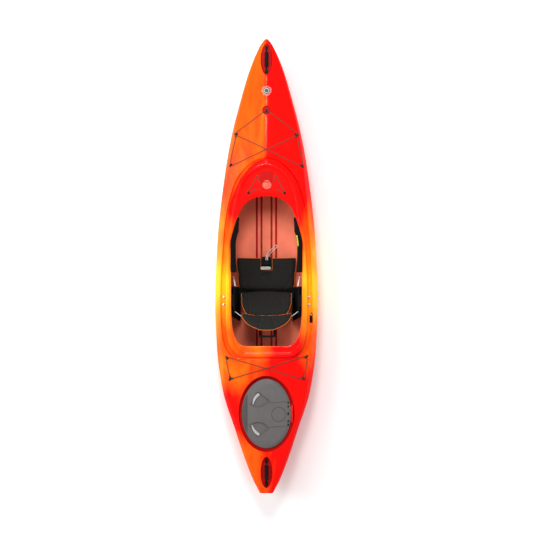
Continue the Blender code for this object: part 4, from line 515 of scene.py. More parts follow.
def inner_edges(coaming, opening):
    """Inner edge of the coaming for each column, and its distance from the outer edge."""
    reaches = [min(COAMING_BAND, (b - c).length - LEDGE) for c, b in zip(coaming, opening)]
    return [c.lerp(b, reach / (b - c).length) for c, b, reach in zip(coaming, opening, reaches)], reaches


def cockpit_rings(ys):
    """Rings of the rounded gutter, the coaming's roll and the edge of the opening."""
    surround, coaming, opening = (column_points(path, ys) for path in (SURROUND_PATH, COAMING_PATH,
                                                                       OPENING_PATH))
    deck = [deck_z(p.x, p.y) for p in surround]
    floor = [z - GUTTER_DEPTH for z in deck]
    rings = [at_heights(moved_out(surround, out), [z - GUTTER_DEPTH * down for z in deck]) for out, down in (
        (0.0, 0.0), (-0.0015, 0.04), (-0.0030, 0.16), (-0.0040, 0.38), (-0.0050, 0.66), (-0.0065, 0.88),
        (-0.0090, 0.985), (-0.012, 1.0))]
    inner_edge, reaches = inner_edges(coaming, opening)
    neck = [a.lerp(c, COAMING_NECK / reach) for a, c, reach in zip(inner_edge, coaming, reaches)]
    foot = [n.lerp(c, 0.003 / reach) for n, c, reach in zip(neck, coaming, reaches)]
    tops = [coaming_z(c.y) for c in coaming]
    rings += [at_heights(foot, floor), at_heights(between(foot, neck, 0.7), [z + 0.0006 for z in floor]),
              at_heights(neck, [z + 0.003 for z in floor]), at_heights(neck, [z - LIP - 0.0015 for z in tops])]
    underside = [(0.1, 1.0), (0.88, 1.0), (0.96, 0.96)]
    roll = [(0.0, 0.80), (0.01, 0.60), (0.05, 0.36), (0.11, 0.17), (0.19, 0.05), (0.28, 0.0), (0.45, 0.0),
            (0.60, 0.02), (0.72, 0.05), (0.82, 0.12), (0.90, 0.24), (0.96, 0.42), (1.0, 0.62)]
    for start, end, section in ((neck, coaming, underside), (coaming, inner_edge, roll)):
        rings += [at_heights(between(start, end, part), [z - down * LIP for z in tops]) for part,
                  down in section]
    dash = [z - DASH_DROP for z in tops]
    rings.append(at_heights([a.lerp(b, min(0.10, 0.0012 / max((b - a).length, 1e-4)))
                             for a, b in zip(inner_edge, opening)], [z + 0.0015 for z in dash]))
    rings += [at_heights(between(inner_edge, opening, part), dash) for part in (0.12, 0.5, 0.86)]
    return rings + [at_heights(opening, [z - 0.0008 for z in dash]),
                    at_heights(moved_out(opening, -0.0030), [z - 0.0026 for z in dash])]


def side_roof(x, y):
    """Height of the slanting upper side above a point of the inner skin."""
    edge = max(facet_x(y), outline_x(SURROUND_PATH, y) + SHOULDER)
    wide = half_breadth(y)
    if x <= edge or wide - edge < 1e-4:
        return 1.0
    seam = curve_at(SEAM_HEIGHT, share(y))
    return seam + (facet_z(y) - seam) * (wide - x) / (wide - edge)


def inner_rings(count=64):
    """Rings of the inner skin, from the keel up to the underside of the dash."""
    inset = settings().wall
    half = settings().length / 2
    ys = station_ys(half - BOW_NOSE - inset, -half + STERN_NOSE + inset, count)
    grid, rings = bottom_rings(ys, inset, (10, 20, 31, 43, 54, 66, 78, 90))
    surround, coaming, opening = (column_points(path, ys) for path in (SURROUND_PATH, COAMING_PATH,
                                                                       OPENING_PATH))
    facet = []
    for x, y in grid:
        reach = min(max(facet_x(y) - inset, outline_x(SURROUND_PATH, y) + inset + SHOULDER), x)
        facet.append(Vector((reach, y, min(facet_z(y) - 0.7 * inset, side_roof(reach, y) - 1.4 * inset))))
    rings.append(facet)
    edge = moved_out(surround, inset)
    for part in (0.25, 0.5, 0.75, 1.0):
        ring = between(facet, edge, part)
        rings.append(at_heights(ring, [min(deck_z(p.x, p.y) - inset, side_roof(p.x, p.y) - 1.3 * inset)
                                       for p in ring]))
    floor = [deck_z(p.x, p.y) - GUTTER_DEPTH - inset for p in surround]
    inner_edge, _ = inner_edges(coaming, opening)
    dash = [coaming_z(c.y) - DASH_DROP - inset for c in coaming]
    return rings + [at_heights(moved_out(surround, inset - GUTTER_WALL), floor), at_heights(inner_edge, floor),
                    at_heights(between(inner_edge, opening, 0.5),
                               dash), at_heights(moved_out(opening, -0.003), dash)]


def closed_shell(rings):
    """Closed solid through whole rings; its bottom and top close along the middle line."""
    seams = [[Vector((0.0, p.y, p.z)) for p in ring] for ring in (rings[0], rings[-1])]
    bm = bridged([mirrored_ring(ring) for ring in [seams[0]] + rings + [seams[1]]], caps=False)
    bmesh.ops.remove_doubles(bm, verts=bm.verts, dist=1e-6)
    bmesh.ops.recalc_face_normals(bm, faces=bm.faces)
    return bm


def cutter(item, bm, name, finish=0):
    """A loose object for a Boolean, with the materials of the item that it will work on."""
    for face in bm.faces if finish else ():
        face.material_index = finish
    bmesh.ops.recalc_face_normals(bm, faces=bm.faces)
    mesh = bpy.data.meshes.new(name)
    bm.to_mesh(mesh)
    bm.free()
    for made in item.data.materials:
        mesh.materials.append(made)
    other = bpy.data.objects.new(name, mesh)
    bpy.context.scene.collection.objects.link(other)
    return other


def combined(item, other, operation="DIFFERENCE"):
    """Applies one exact Boolean with an object that is then removed."""
    step = item.modifiers.new(other.name, "BOOLEAN")
    step.operation = operation
    step.solver = "EXACT"
    step.object = other
    applied(item)
    bpy.data.objects.remove(other, do_unlink=True)


def cut(item, bm, name, operation="DIFFERENCE", finish=0):
    """Applies one exact Boolean with a shape; its faces get the given place in the item's list of materials."""
    combined(item, cutter(item, bm, name, finish), operation)


def applied(item):
    """Replaces an object's mesh by the one that its modifiers give."""
    graph = bpy.context.evaluated_depsgraph_get()
    graph.update()
    whole = bpy.data.meshes.new_from_object(item.evaluated_get(graph), preserve_all_data_layers=True,
                                            depsgraph=graph)
    item.modifiers.clear()
    old = item.data
    item.data = whole
    whole.name = old.name
    bpy.data.meshes.remove(old)


def handle_seat(y):
    return min(deck_z(0.0, y - HANDLE_HALF_LENGTH), deck_z(0.0, y + HANDLE_HALF_LENGTH)) - HANDLE_RECESS_DEPTH


def group_of(name, inputs, outputs):
    """An empty shader node group with named sockets; returns the tree and its two ends."""
    tree = bpy.data.node_groups.new(name, "ShaderNodeTree")
    for label, kind, value in inputs:
        socket = tree.interface.new_socket(name=label, in_out="INPUT", socket_type=kind)
        if value is not None:
            socket.default_value = value
    for label, kind in outputs:
        tree.interface.new_socket(name=label, in_out="OUTPUT", socket_type=kind)
    return tree, tree.nodes.new("NodeGroupInput"), tree.nodes.new("NodeGroupOutput")


def placed_node(tree, kind, settings_of=None, **values):
    """A shader node with its settings and unlinked inputs given by name."""
    node = tree.nodes.new(kind)
    for key, value in (settings_of or {}).items():
        setattr(node, key, value)
    for key, value in values.items():
        node.inputs[key.replace("_", " ")].default_value = value
    return node


class Signal:
    """A number of a shader tree that is reckoned with like any other; each step is one Math node."""

    def __init__(self, tree, socket):
        self.tree = tree
        self.socket = socket

    def made(self, operation, *values):
        node = self.tree.nodes.new("ShaderNodeMath")
        node.operation = operation
        for slot, value in zip(node.inputs, values):
            if isinstance(value, Signal):
                self.tree.links.new(value.socket, slot)
            else:
                slot.default_value = value
        return Signal(self.tree, node.outputs[0])

    def __add__(self, other):
        return self.made("ADD", self, other)

    def __sub__(self, other):
        return self.made("SUBTRACT", self, other)

    def __rsub__(self, other):
        return self.made("SUBTRACT", other, self)

    def __mul__(self, other):
        return self.made("MULTIPLY", self, other)

    def __truediv__(self, other):
        return self.made("DIVIDE", self, other)

    def __pow__(self, other):
        return self.made("POWER", self, other)

    def __abs__(self):
        return self.made("ABSOLUTE", self)

    def clamped(self):
        """The same number, held between 0 and 1."""
        self.socket.node.use_clamp = True
        return self

    def feeds(self, socket):
        self.tree.links.new(self.socket, socket)


def coordinates(tree, kind="Object"):
    return tree.nodes.new("ShaderNodeTexCoord").outputs[kind]


def split(tree, vector):
    """The three numbers of a vector socket."""
    parts = tree.nodes.new("ShaderNodeSeparateXYZ")
    tree.links.new(vector, parts.inputs[0])
    return [Signal(tree, number) for number in parts.outputs]


def ramp_node(tree, source, stops, mode="EASE"):
    """Colour ramp over a socket; stops are (place, colour)."""
    node = tree.nodes.new("ShaderNodeValToRGB")
    node.color_ramp.interpolation = mode
    while len(node.color_ramp.elements) < len(stops):
        node.color_ramp.elements.new(0.5)
    for element, (place, colour) in zip(node.color_ramp.elements, stops):
        element.position = place
        element.color = (*colour, 1.0)
    tree.links.new(source, node.inputs[0])
    return node.outputs[0]


def grain_group():
    """Moulded grain: a fine bump height and a small change of roughness."""
    found = bpy.data.node_groups.get("Moulded Grain")
    if found:
        return found
    number = "NodeSocketFloat"
    tree, ends, out = group_of(
        "Moulded Grain", [("Scale", number, 900.0), ("Roughness", number, 0.4), ("Spread", number, 0.06)],
        [("Height", number), ("Roughness", number)])
    where = coordinates(tree)
    fine = placed_node(tree, "ShaderNodeTexNoise", Detail=2.0)
    broad = placed_node(tree, "ShaderNodeTexNoise", Scale=7.0, Detail=3.0)
    for noise in (fine, broad):
        tree.links.new(where, noise.inputs["Vector"])
    tree.links.new(ends.outputs["Scale"], fine.inputs["Scale"])
    tree.links.new(fine.outputs["Fac"], out.inputs["Height"])
    off = (Signal(tree, broad.outputs["Fac"]) - 0.5) * Signal(tree, ends.outputs["Spread"])
    (off + Signal(tree, ends.outputs["Roughness"])).clamped().feeds(out.inputs["Roughness"])
    return tree


def weave_group():
    """Plain woven cloth: threads that cross over and under, as a height and a tone that is darker where the
    weave is low, painted shade between the threads, mixed with noise.
    """
    found = bpy.data.node_groups.get("Cloth Weave")
    if found:
        return found
    number = "NodeSocketFloat"
    tree, ends, out = group_of(
        "Cloth Weave", [("Threads per Metre", number, 900.0)], [("Height", number), ("Shade", number)])
    turns = Signal(tree, ends.outputs["Threads per Metre"]) * (2 * math.pi)
    waves = [turns.made("SINE", part * turns) for part in split(tree, coordinates(tree))]
    height = turns.made("MULTIPLY_ADD", waves[0] * (waves[1] + waves[2]), 0.25, 0.5)
    height.feeds(out.inputs["Height"])
    noise = placed_node(tree, "ShaderNodeTexNoise", Scale=45.0, Detail=4.0)
    shade = turns.made("MULTIPLY_ADD", height, 0.5, Signal(tree, noise.outputs["Fac"]))
    shade.feeds(out.inputs["Shade"])
    return tree


def base_material(name, roughness, **constants):
    """New material; returns it with its tree and shader."""
    made = bpy.data.materials.new(name)
    made.use_nodes = True
    tree = made.node_tree
    shader = tree.nodes["Principled BSDF"]
    shader.inputs["Roughness"].default_value = roughness
    for key, value in constants.items():
        shader.inputs[key.replace("_", " ")].default_value = value
    return made, tree, shader


def bumped(tree, shader, height, strength, distance):
    bump = placed_node(tree, "ShaderNodeBump", Strength=strength, Distance=distance)
    tree.links.new(height, bump.inputs["Height"])
    tree.links.new(bump.outputs["Normal"], shader.inputs["Normal"])


def grained(tree, shader, strength, distance, **values):
    """Roughens a shader with moulded grain; the values are the grain's own inputs."""
    grain = placed_node(tree, "ShaderNodeGroup", {"node_tree": grain_group()}, **values)
    tree.links.new(grain.outputs["Roughness"], shader.inputs["Roughness"])
    bumped(tree, shader, grain.outputs["Height"], strength, distance)


def toned(tree, shader, source, colour, fade, places):
    """Lets a shader's colour run from a darker to a lighter tone, between two places of a source."""
    low = tuple(c * (1 - fade) for c in colour)
    high = tuple(min(1.0, c * (1 + fade)) for c in colour)
    tree.links.new(ramp_node(tree, source, list(zip(places, (low, high)))), shader.inputs["Base Color"])


def made_once(make):
    """Lets a function make each named material a single time."""
    def found_or_made(name, *values, **named):
        return bpy.data.materials.get(name) or make(name, *values, **named)
    return found_or_made


@made_once
def plastic(name, colour, roughness=0.45, scale=900.0, strength=0.12, fade=0.25):
    """Moulded plastic or rubber with its own grain, slightly scuffed."""
    made, tree, shader = base_material(name, roughness, Specular_IOR_Level=0.2)
    grained(tree, shader, strength, 0.0003, Scale=scale, Roughness=roughness)
    noise = placed_node(tree, "ShaderNodeTexNoise", Scale=30.0, Detail=6.0)
    tree.links.new(coordinates(tree), noise.inputs["Vector"])
    toned(tree, shader, noise.outputs["Fac"], colour, fade, (0.3, 0.7))
    return made


@made_once
def cloth(name, colour, threads=420.0, strength=0.5):
    """Woven cloth with visible threads; its colour is darker where the weave is low, painted shade between the
    threads, and uneven from noise, as slightly uneven dye.
    """
    made, tree, shader = base_material(name, 0.85, Sheen_Weight=0.04, Sheen_Roughness=0.5,
                                       Specular_IOR_Level=0.12)
    weave = tree.nodes.new("ShaderNodeGroup")
    weave.node_tree = weave_group()
    weave.inputs["Threads per Metre"].default_value = threads
    bumped(tree, shader, weave.outputs["Height"], strength, 0.0005)
    # Colour from the weave's tone: darker where the weave is low, painted shade between the threads, with noise
    # for uneven dye
    toned(tree, shader, weave.outputs["Shade"], colour, 0.35, (0.35, 0.95))
    return made


def hull_finish():
    """Polyethylene whose pigment runs from red ends through orange to a yellow middle; the red round the
    cockpit's front is partly painted shade.
    """
    made, tree, shader = base_material("hull_outside", 0.30, Specular_IOR_Level=0.06, Coat_Weight=0.26,
                                       Coat_Roughness=0.12)
    where = coordinates(tree)
    x, y, _ = split(tree, where)
    stretch = placed_node(tree, "ShaderNodeMapping", Scale=(2.6, 0.9, 2.6))
    tree.links.new(where, stretch.inputs["Vector"])
    swirl = placed_node(tree, "ShaderNodeTexNoise", Scale=2.4, Detail=4.0, Roughness=0.55, Distortion=0.6)
    tree.links.new(stretch.outputs[0], swirl.inputs["Vector"])
    wander = (Signal(tree, swirl.outputs["Fac"]) - 0.5) * 1.1
    across = abs(x)
    yellow = 0.56 - abs(y + 0.09) * 1.25 + (across - 0.25) * 1.6 + wander * 0.85
    # The port side is orange, with a sharper border ahead of the cockpit than aft
    sharp = (y * 4.0).clamped() * 17.0 + 7.0
    portward = (0.5 - x * sharp).clamped() * 0.62 - 0.10
    # Red pigment on the dash, inside an oval round the cockpit's front; towards its edge the same red also
    # stands for the shade in the gutter, as painted shade
    forward = ((y - 0.12) * 5.0).clamped()
    dash_red_and_shade = ((1.0 - ((across / 0.320) ** 2.0 + (y / 0.765) ** 2.0)) * 14.0).clamped()
    # Red beside and behind the hatch
    astern = ((-0.80 - y) * 8.0).clamped()
    before = ((y + 1.27) * 8.0).clamped()
    orange = portward - forward * dash_red_and_shade * 0.75 - astern * before * 0.5 + wander * 1.25 + 0.16
    mixed = x.made("MAXIMUM", (orange * 0.55).clamped(), (yellow + 0.25).clamped())
    chosen = settings()
    colour = ramp_node(tree, mixed.socket, [
        (0.0, chosen.end_colour), (0.12, chosen.end_colour), (0.42, chosen.blend_colour),
        (0.62, (1.0, 0.27, 0.008)), (0.88, chosen.middle_colour)], "LINEAR")
    tree.links.new(colour, shader.inputs["Base Color"])
    grained(tree, shader, 0.05, 0.0004, Scale=260.0, Roughness=0.30, Spread=0.10)
    return made


def inside_finish():
    """Bare inner face of the moulding, matt and paler than the outside."""
    made, tree, shader = base_material("hull_inside", 0.62)
    noise = placed_node(tree, "ShaderNodeTexNoise", Scale=5.0, Detail=5.0)
    tree.links.new(coordinates(tree), noise.inputs["Vector"])
    base = tuple(settings().inside_colour)
    darker = tuple(c * 0.82 for c in base)
    tree.links.new(ramp_node(tree, noise.outputs["Fac"], [(0.35, darker), (0.65, base)]),
                   shader.inputs["Base Color"])
    grained(tree, shader, 0.25, 0.0005, Scale=420.0, Roughness=0.6)
    return made


class KAYAK_OT_hull(bpy.types.Operator):
    """Moulds the hull, with its cockpit, recesses and floor grooves"""
    bl_idname = "kayak.hull"
    bl_label = "Hull Moulding"

    def execute(self, context):
        groove, recess = finish_of("groove"), finish_of("recess")
        finishes = [hull_finish(), inside_finish(), groove, recess]
        shell = piece("hull_moulding", closed_shell(outer_rings()), None, finishes, angle=40)
        room = cutter(shell, closed_shell(inner_rings()), "room", INSIDE)
        for outline, floor in deck_recesses(settings().wall):
            cut(room, prism(outline, floor, OVERHEAD), "recess_room")
        combined(shell, room)
        self.sink_recesses(shell)
        self.open_ways(shell)
        smoothed(shell.data, 38)
        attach(shell, BOAT)
        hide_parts("hull")
        return {"FINISHED"}

    def sink_recesses(self, shell):
        """Sinks the seats of handles, hatch and dash tray, the scoop and the pockets, and lifts the boss."""
        flared = [("handle_recess",
                   oval(HANDLE_RECESS_HALF_WIDTH + 0.002, HANDLE_HALF_LENGTH + 0.013, (0.0, y), 64),
                   handle_seat(y), 0.005) for y in (BOW_HANDLE_Y, STERN_HANDLE_Y)]
        flared.append(("scoop", oval(SCOOP_RADIUS, SCOOP_RADIUS, (0.0, SCOOP_Y), 48),
                       deck_z(0.0, SCOOP_Y) - SCOOP_DEPTH, 0.004))
        wide, long = HATCH_HALF_WIDTH + HATCH_RECESS - 0.002, HATCH_HALF_LENGTH + HATCH_RECESS - 0.002
        flared.append(("hatch_recess", oval(wide, long, (0.0, HATCH_Y)), HATCH_SEAT, 0.008))
        # Recess walls and floors take the darker recess red: painted shade in the hollows
        for name, outline, floor, radius in flared:
            cut(shell, flared_recess(outline, floor, radius), name, finish=RECESS)
        tray = prism(DASH_TRAY, coaming_z(COAMING[1]) - DASH_DROP - 0.0028, OVERHEAD)
        bmesh.ops.bevel(tray, geom=[e for e in tray.edges if abs(e.verts[0].co.z - e.verts[1].co.z) > 0.1],
                        offset=0.008, segments=4, affect="EDGES")
        # The dash tray's faces take the same darker red: painted shade
        cut(shell, tray, "dash_tray", finish=RECESS)
        top = deck_z(0.0, BADGE_Y) + BOSS_RISE
        boss = [(BOSS_RADIUS + 0.004, top - 0.030), (BOSS_RADIUS + 0.0008, top - 0.0022),
                (BOSS_RADIUS, top - 0.0008),
                (BOSS_RADIUS - 0.001, top)]
        cut(shell, bridged([[(x, y, z) for x, y in oval(r, r, (0.0, BADGE_Y), 64)] for r, z in boss]),
            "boss", "UNION")
        roof = coaming_z(SIDE_TO) - LIP - 0.001
        for half, long, centre, floor in pocket_list():
            cut(shell, prism(stadium(half, long, centre), floor, roof), "pocket")

    def open_ways(self, shell):
        """Cuts the cockpit, hatch, skeg slot, drain and screw holes through the wall, and grooves the floor."""
        starboard = moved_out(along(OPENING_PATH, [i / 60 for i in range(61)]), -0.0030)
        cut(shell, prism([(p.x, p.y) for p in mirrored_ring(starboard)], 0.15, OVERHEAD), "cockpit_way")
        cut(shell, prism(oval(HATCH_HALF_WIDTH - HATCH_LAND, HATCH_HALF_LENGTH - HATCH_LAND, (0.0, HATCH_Y)),
                         0.20, OVERHEAD), "hatch_way")
        for x, y, radius in [(side * SCREW_X, y,
                              0.0038) for side in (1, -1) for y in SCREW_Y] + [(*LINE_HOLE, 0.0040)]:
            cut(shell, prism(oval(radius, radius, (x, y), 24), 0.22, 0.36), "screw_way")
        for radius, rear, front in ((0.0159, -1.62, -1.592), (0.0084, -1.62, -1.55)):
            cut(shell, lathe([(0.0, radius), (front - rear, radius)], (0.0, rear, DRAIN_HEIGHT), (0, 1, 0)),
                "drain_way")
        half, rear, front = SKEG_SLOT
        cut(shell, prism([(-half, rear), (half, rear), (half, front), (-half, front)], -0.05, 0.12), "skeg_way")
        section = [(-0.5, 0.0), (0.5, 0.0), (0.85, 0.0008), (1.1, GROOVE_DEPTH + 0.004),
                   (-1.1, GROOVE_DEPTH + 0.004), (-0.85, 0.0008)]
        for x in (-FLOOR_GROOVES[1], -FLOOR_GROOVES[0], *FLOOR_GROOVES):
            rings = []
            for index in range(41):
                y = GROOVE_FROM + (GROOVE_TO - GROOVE_FROM) * index / 40
                low = bottom_z(x, y, settings().wall) - GROOVE_DEPTH
                rings.append([(x + GROOVE_HALF * side, y, low + lift) for side, lift in section])
            # The grooves' faces take the darker groove red: painted shade in the grooves
            cut(shell, bridged(rings), "groove", finish=GROOVE)


def deck_recesses(grow):
    """Plan outline, grown by the wall, and underside height of each recess seen from inside."""
    found = [(stadium(HANDLE_RECESS_HALF_WIDTH + grow, HANDLE_HALF_LENGTH + 0.004 + grow, (0.0, y)),
              handle_seat(y) - grow) for y in (BOW_HANDLE_Y, STERN_HANDLE_Y)]
    found.append((oval(SCOOP_RADIUS + grow, SCOOP_RADIUS + grow, (0.0, SCOOP_Y), 32),
                  deck_z(0.0, SCOOP_Y) - SCOOP_DEPTH - grow))
    found.append((oval(HATCH_HALF_WIDTH + HATCH_RECESS + grow, HATCH_HALF_LENGTH + HATCH_RECESS + grow,
                       (0.0, HATCH_Y), 64), HATCH_SEAT - grow))
    return found + [(stadium(half + grow, long + grow, centre, 10), floor - grow)
                    for half, long, centre, floor in pocket_list()]


def pocket_list():
    """Small flat-floored pockets beside the cockpit, for the seat screws and the skeg control."""
    middle = sum(SCREW_Y) / 2
    screw_floor = deck_z(SURROUND[0] / 2, middle) - GUTTER_DEPTH - 0.001
    x, y = CONTROL_PLACE
    half, long = CONTROL_POCKET
    control_floor = min(deck_z(outline_x(SURROUND_PATH, at), at) for at in (y - long, y,
                                                                            y + long)) - GUTTER_DEPTH - 0.001
    return [(*SCREW_POCKET, (side * SCREW_X, middle), screw_floor) for side in (-1, 1)] + [
        (half, long, (x, y), control_floor)]


# Seat: sizes shared with the frame's cushions
SEAT_FRONT = 0.062
SEAT_REAR = -0.172
SEAT_SPLIT = -0.052
SEAT_HALF_FRONT = 0.214
SEAT_HALF_REAR = 0.196
NOTCH_HALF = 0.044
NOTCH_DEPTH = 0.088
NOTCH_ROUND = 0.014
BACK_PIVOT = (-0.186, 0.098)
BACK_ANGLE = math.radians(41.0)
BACK_WRAP = 0.030
BACK_WIDER = 1.09
BAIL_BEHIND = -0.036
BACK_HALF_LOW = 0.176
BACK_HALF = [(0.0, 0.176), (0.09, 0.176), (0.17, 0.158), (0.232, 0.116)]
BAND_HALF = [(0.222, 0.184), (0.26, 0.176), (0.30, 0.146), (0.335, 0.086), (0.350, 0.045)]
BACK_SPAN = (0.020, 0.218)
BAND_SPAN = (0.221, 0.350)
PIPING_RADIUS = 0.0019
PIPING_LIFT = 0.0006


class SeatSettings(bpy.types.PropertyGroup):
    cloth_colour: FloatVectorProperty(
        name="Cloth Colour", description="Charcoal mesh of the seat", subtype="COLOR", size=3,
        default=(0.023, 0.0225, 0.0208))
    piping_colour: FloatVectorProperty(
        name="Piping Colour", description="Cord sewn along the edges", subtype="COLOR", size=3,
        default=(0.75, 0.20, 0.03))
    swell: FloatProperty(name="Swell", description="Furthest that the cloth may puff out", default=0.004,
                         unit="LENGTH")
    voxel: FloatProperty(name="Voxel", description="Mesh size of the cloth", default=0.005, unit="LENGTH")


def seat_half(y):
    part = (SEAT_FRONT - y) / (SEAT_FRONT - SEAT_REAR)
    return SEAT_HALF_FRONT + (SEAT_HALF_REAR - SEAT_HALF_FRONT) * part ** 1.6


def back_point(x, s, n):
    """World point of the backrest from across, along and out-of-plane distances."""
    c, d = math.cos(BACK_ANGLE), math.sin(BACK_ANGLE)
    lift = n + BACK_WRAP * (abs(x) / BACK_HALF_LOW) ** 2.2
    return Vector((x, BACK_PIVOT[0] - s * c + lift * d, BACK_PIVOT[1] + s * d + lift * c))


def back_out():
    return Vector((0.0, math.sin(BACK_ANGLE), math.cos(BACK_ANGLE)))


def tree_of(item):
    graph = bpy.context.evaluated_depsgraph_get()
    graph.update()
    return BVHTree.FromObject(item, graph)


def node_copy(node):
    """Merged copy of a CAD node's mesh."""
    bm = bmesh.new()
    bm.from_mesh(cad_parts[node].data)
    bmesh.ops.remove_doubles(bm, verts=bm.verts, dist=1e-5)
    return bm


def puffed(name, nodes, body, finish, swell, shape=None):
    """A padded piece: the frame's solids remeshed, blown up as cloth, smoothed and fitted to their box."""
    bm = merged([node_copy(node) for node in nodes])
    item = piece(name, bm, None, finish, None)
    lows, highs = extent(item)
    remeshed(item, bpy.context.scene.kayak_seat.voxel)
    if shape:
        shape(item)
    start = [vert.co.copy() for vert in item.data.vertices]
    step = item.modifiers.new("cloth", "CLOTH")
    step.settings.use_pressure = True
    step.settings.uniform_pressure_force = 4.0
    step.settings.effector_weights.gravity = 0.0
    step.settings.quality = 5
    for number in range(1, 16):
        bpy.context.scene.frame_set(number)
    applied(item)
    bpy.context.scene.frame_set(1)
    for vert, was in zip(item.data.vertices, start):
        move = vert.co - was
        if move.length > swell:
            vert.co = was + move * (swell / move.length)
    bm = bmesh.new()
    bm.from_mesh(item.data)
    for cuts in (1, 0):
        bmesh.ops.smooth_vert(bm, verts=bm.verts, factor=0.5, use_axis_x=True, use_axis_y=True, use_axis_z=True)
        if cuts:
            bmesh.ops.subdivide_edges(bm, edges=bm.edges, cuts=cuts, use_grid_fill=True, smooth=0.0)
    bm.to_mesh(item.data)
    bm.free()
    low, high = extent(item)
    for vert in item.data.vertices:
        for axis in range(3):
            part = (vert.co[axis] - low[axis]) / (high[axis] - low[axis])
            vert.co[axis] = lows[axis] + part * (highs[axis] - lows[axis])
    item.data.materials.clear()
    item.data.materials.append(finish)
    item.data.shade_smooth()
    if body:
        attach(item, body)
    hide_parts(*nodes)
    return item


def remeshed(item, voxel):
    step = item.modifiers.new("remesh", "REMESH")
    step.mode = "VOXEL"
    step.voxel_size = voxel
    applied(item)


def extent(item):
    """Lowest and highest corner of a piece's own mesh."""
    points = [vert.co for vert in item.data.vertices]
    return [[pick(p[axis] for p in points) for axis in range(3)] for pick in (min, max)]


def closed_split(item):
    """Fills the groove between the seat and its leg lifter, which one cover spans."""
    tree = tree_of(item)
    low, high = SEAT_SPLIT - 0.028, SEAT_SPLIT + 0.028
    for vert in item.data.vertices:
        x, y, z = vert.co
        if low < y < high and vert.normal.z > 0.05 and z > 0.070:
            ends = dropped(tree, [(x, low, 0.0), (x, high, 0.0)], reach=0.3)
            if len(ends) == 2:
                vert.co.z = max(z, ends[0].z + (ends[1].z - ends[0].z) * (y - low) / (high - low))
    for vert in item.data.vertices:
        near = 1 - abs(vert.co.y - BACK_PIVOT[0]) / 0.055
        if near > 0 and vert.co.z > 0.076:
            vert.co.z -= 0.011 * near


def raised_foot(item):
    """Brings the foot of the backrest pad forward and down to the seat, most in the middle, as the photo shows.
    """
    c, d = math.cos(BACK_ANGLE), math.sin(BACK_ANGLE)
    for vert in item.data.vertices:
        s = -(vert.co.y - BACK_PIVOT[0]) * c + (vert.co.z - BACK_PIVOT[1]) * d
        near = max(0.0, 1 - max(0.0, s - 0.015) / 0.07) * (1 - (vert.co.x / 0.185) ** 2)
        vert.co += Vector((0, 0.034, -0.012)) * near


def sewn(item, lines, out, depth=0.0035, width=0.0045):
    """Presses sewn channels into a pad along lines of points, seen along the way out of the pad."""
    out = Vector(out).normalized()
    runs = []
    for line in lines:
        runs.append([p - out * p.dot(out) for p in (Vector(q) for q in line)])
    for vert in item.data.vertices:
        if vert.normal.dot(out) < 0.15:
            continue
        flat = vert.co - out * vert.co.dot(out)
        near = min(gap_to(flat, run) for run in runs)
        if near < 3 * width:
            vert.co -= out * depth * math.exp(-(near / width) ** 2)
    item.data.update()


def gap_to(point, run):
    """Shortest distance from a point to a line of points."""
    best = 1.0
    for a, b in zip(run, run[1:]):
        along_it = b - a
        part = max(0.0, min(1.0, (point - a).dot(along_it) / max(along_it.length_squared, 1e-12)))
        best = min(best, (point - a - along_it * part).length)
    return best


def dropped(tree, points, out=UP, lift=0.0, reach=OVERHEAD):
    """Points laid on a surface, looking against the way out from its reach; misses are left off."""
    out = Vector(out).normalized()
    found = []
    for point in points:
        hit = tree.ray_cast(Vector(point) + out * reach, -out)[0]
        if hit is not None:
            found.append(hit + out * lift)
    return found


def hugged(tree, points, outward, rise, reach=0.08):
    """Points laid on the widest part of a pad's side, looking inwards at several heights along rise."""
    found = []
    for point, way in zip(points, outward):
        way = Vector(way).normalized()
        hits = []
        for step in range(-3, 4):
            hit = tree.ray_cast(Vector(point) + way * reach + Vector(rise) * step / 3, -way)[0]
            if hit is not None and hit.dot(way) > Vector(point).dot(way) - 0.025:
                hits.append(hit)
        if hits:
            found.append(max(hits, key=lambda hit: hit.dot(way)) + way * PIPING_LIFT)
    return found


def tube(points, radius, sides=8, closed=False, caps=True):
    """Round cord through points, its sections kept square to its run without twisting."""
    points = [Vector(p) for p in points]
    count = len(points)
    first = None
    rings = []
    for index, point in enumerate(points):
        before = points[index - 1] if index or closed else point
        after = points[(index + 1) % count] if index < count - 1 or closed else point
        run = (after - before).normalized()
        if first is None:
            first = run.orthogonal().normalized()
        first = (first - run * first.dot(run)).normalized()
        second = run.cross(first)
        rings.append([point + radius * (math.cos(a) * first + math.sin(a) * second)
                      for a in (2 * math.pi * i / sides for i in range(sides))])
    if closed:
        rings.append(rings[0])
    bm = bridged(rings, caps=caps and not closed)
    bmesh.ops.remove_doubles(bm, verts=bm.verts, dist=1e-7)
    bmesh.ops.recalc_face_normals(bm, faces=bm.faces)
    return bm


def spread(points, gap):
    """Points at an even gap along a line of points."""
    count = max(2, round(path_length(points) / gap))
    return along(points, [i / count for i in range(count + 1)])


def merged(parts):
    """Several bmeshes in one."""
    whole = bmesh.new()
    for bm in parts:
        carried = bpy.data.meshes.new("carried")
        bm.to_mesh(carried)
        bm.free()
        whole.from_mesh(carried)
        bpy.data.meshes.remove(carried)
    return whole


def stitches(points, out, radius=0.00045, length=0.0035, gap=0.0055):
    """A row of short threads lying along a line on cloth."""
    out = Vector(out).normalized()
    spots = spread(points, gap)
    parts = []
    for a, b in zip(spots, spots[1:]):
        run = (b - a).normalized()
        middle = (a + b) / 2
        ends = [middle - run * length / 2 - out * radius, middle + out * radius * 0.5,
                middle + run * length / 2 - out * radius]
        parts.append(tube(ends, radius, sides=5))
    return merged(parts)


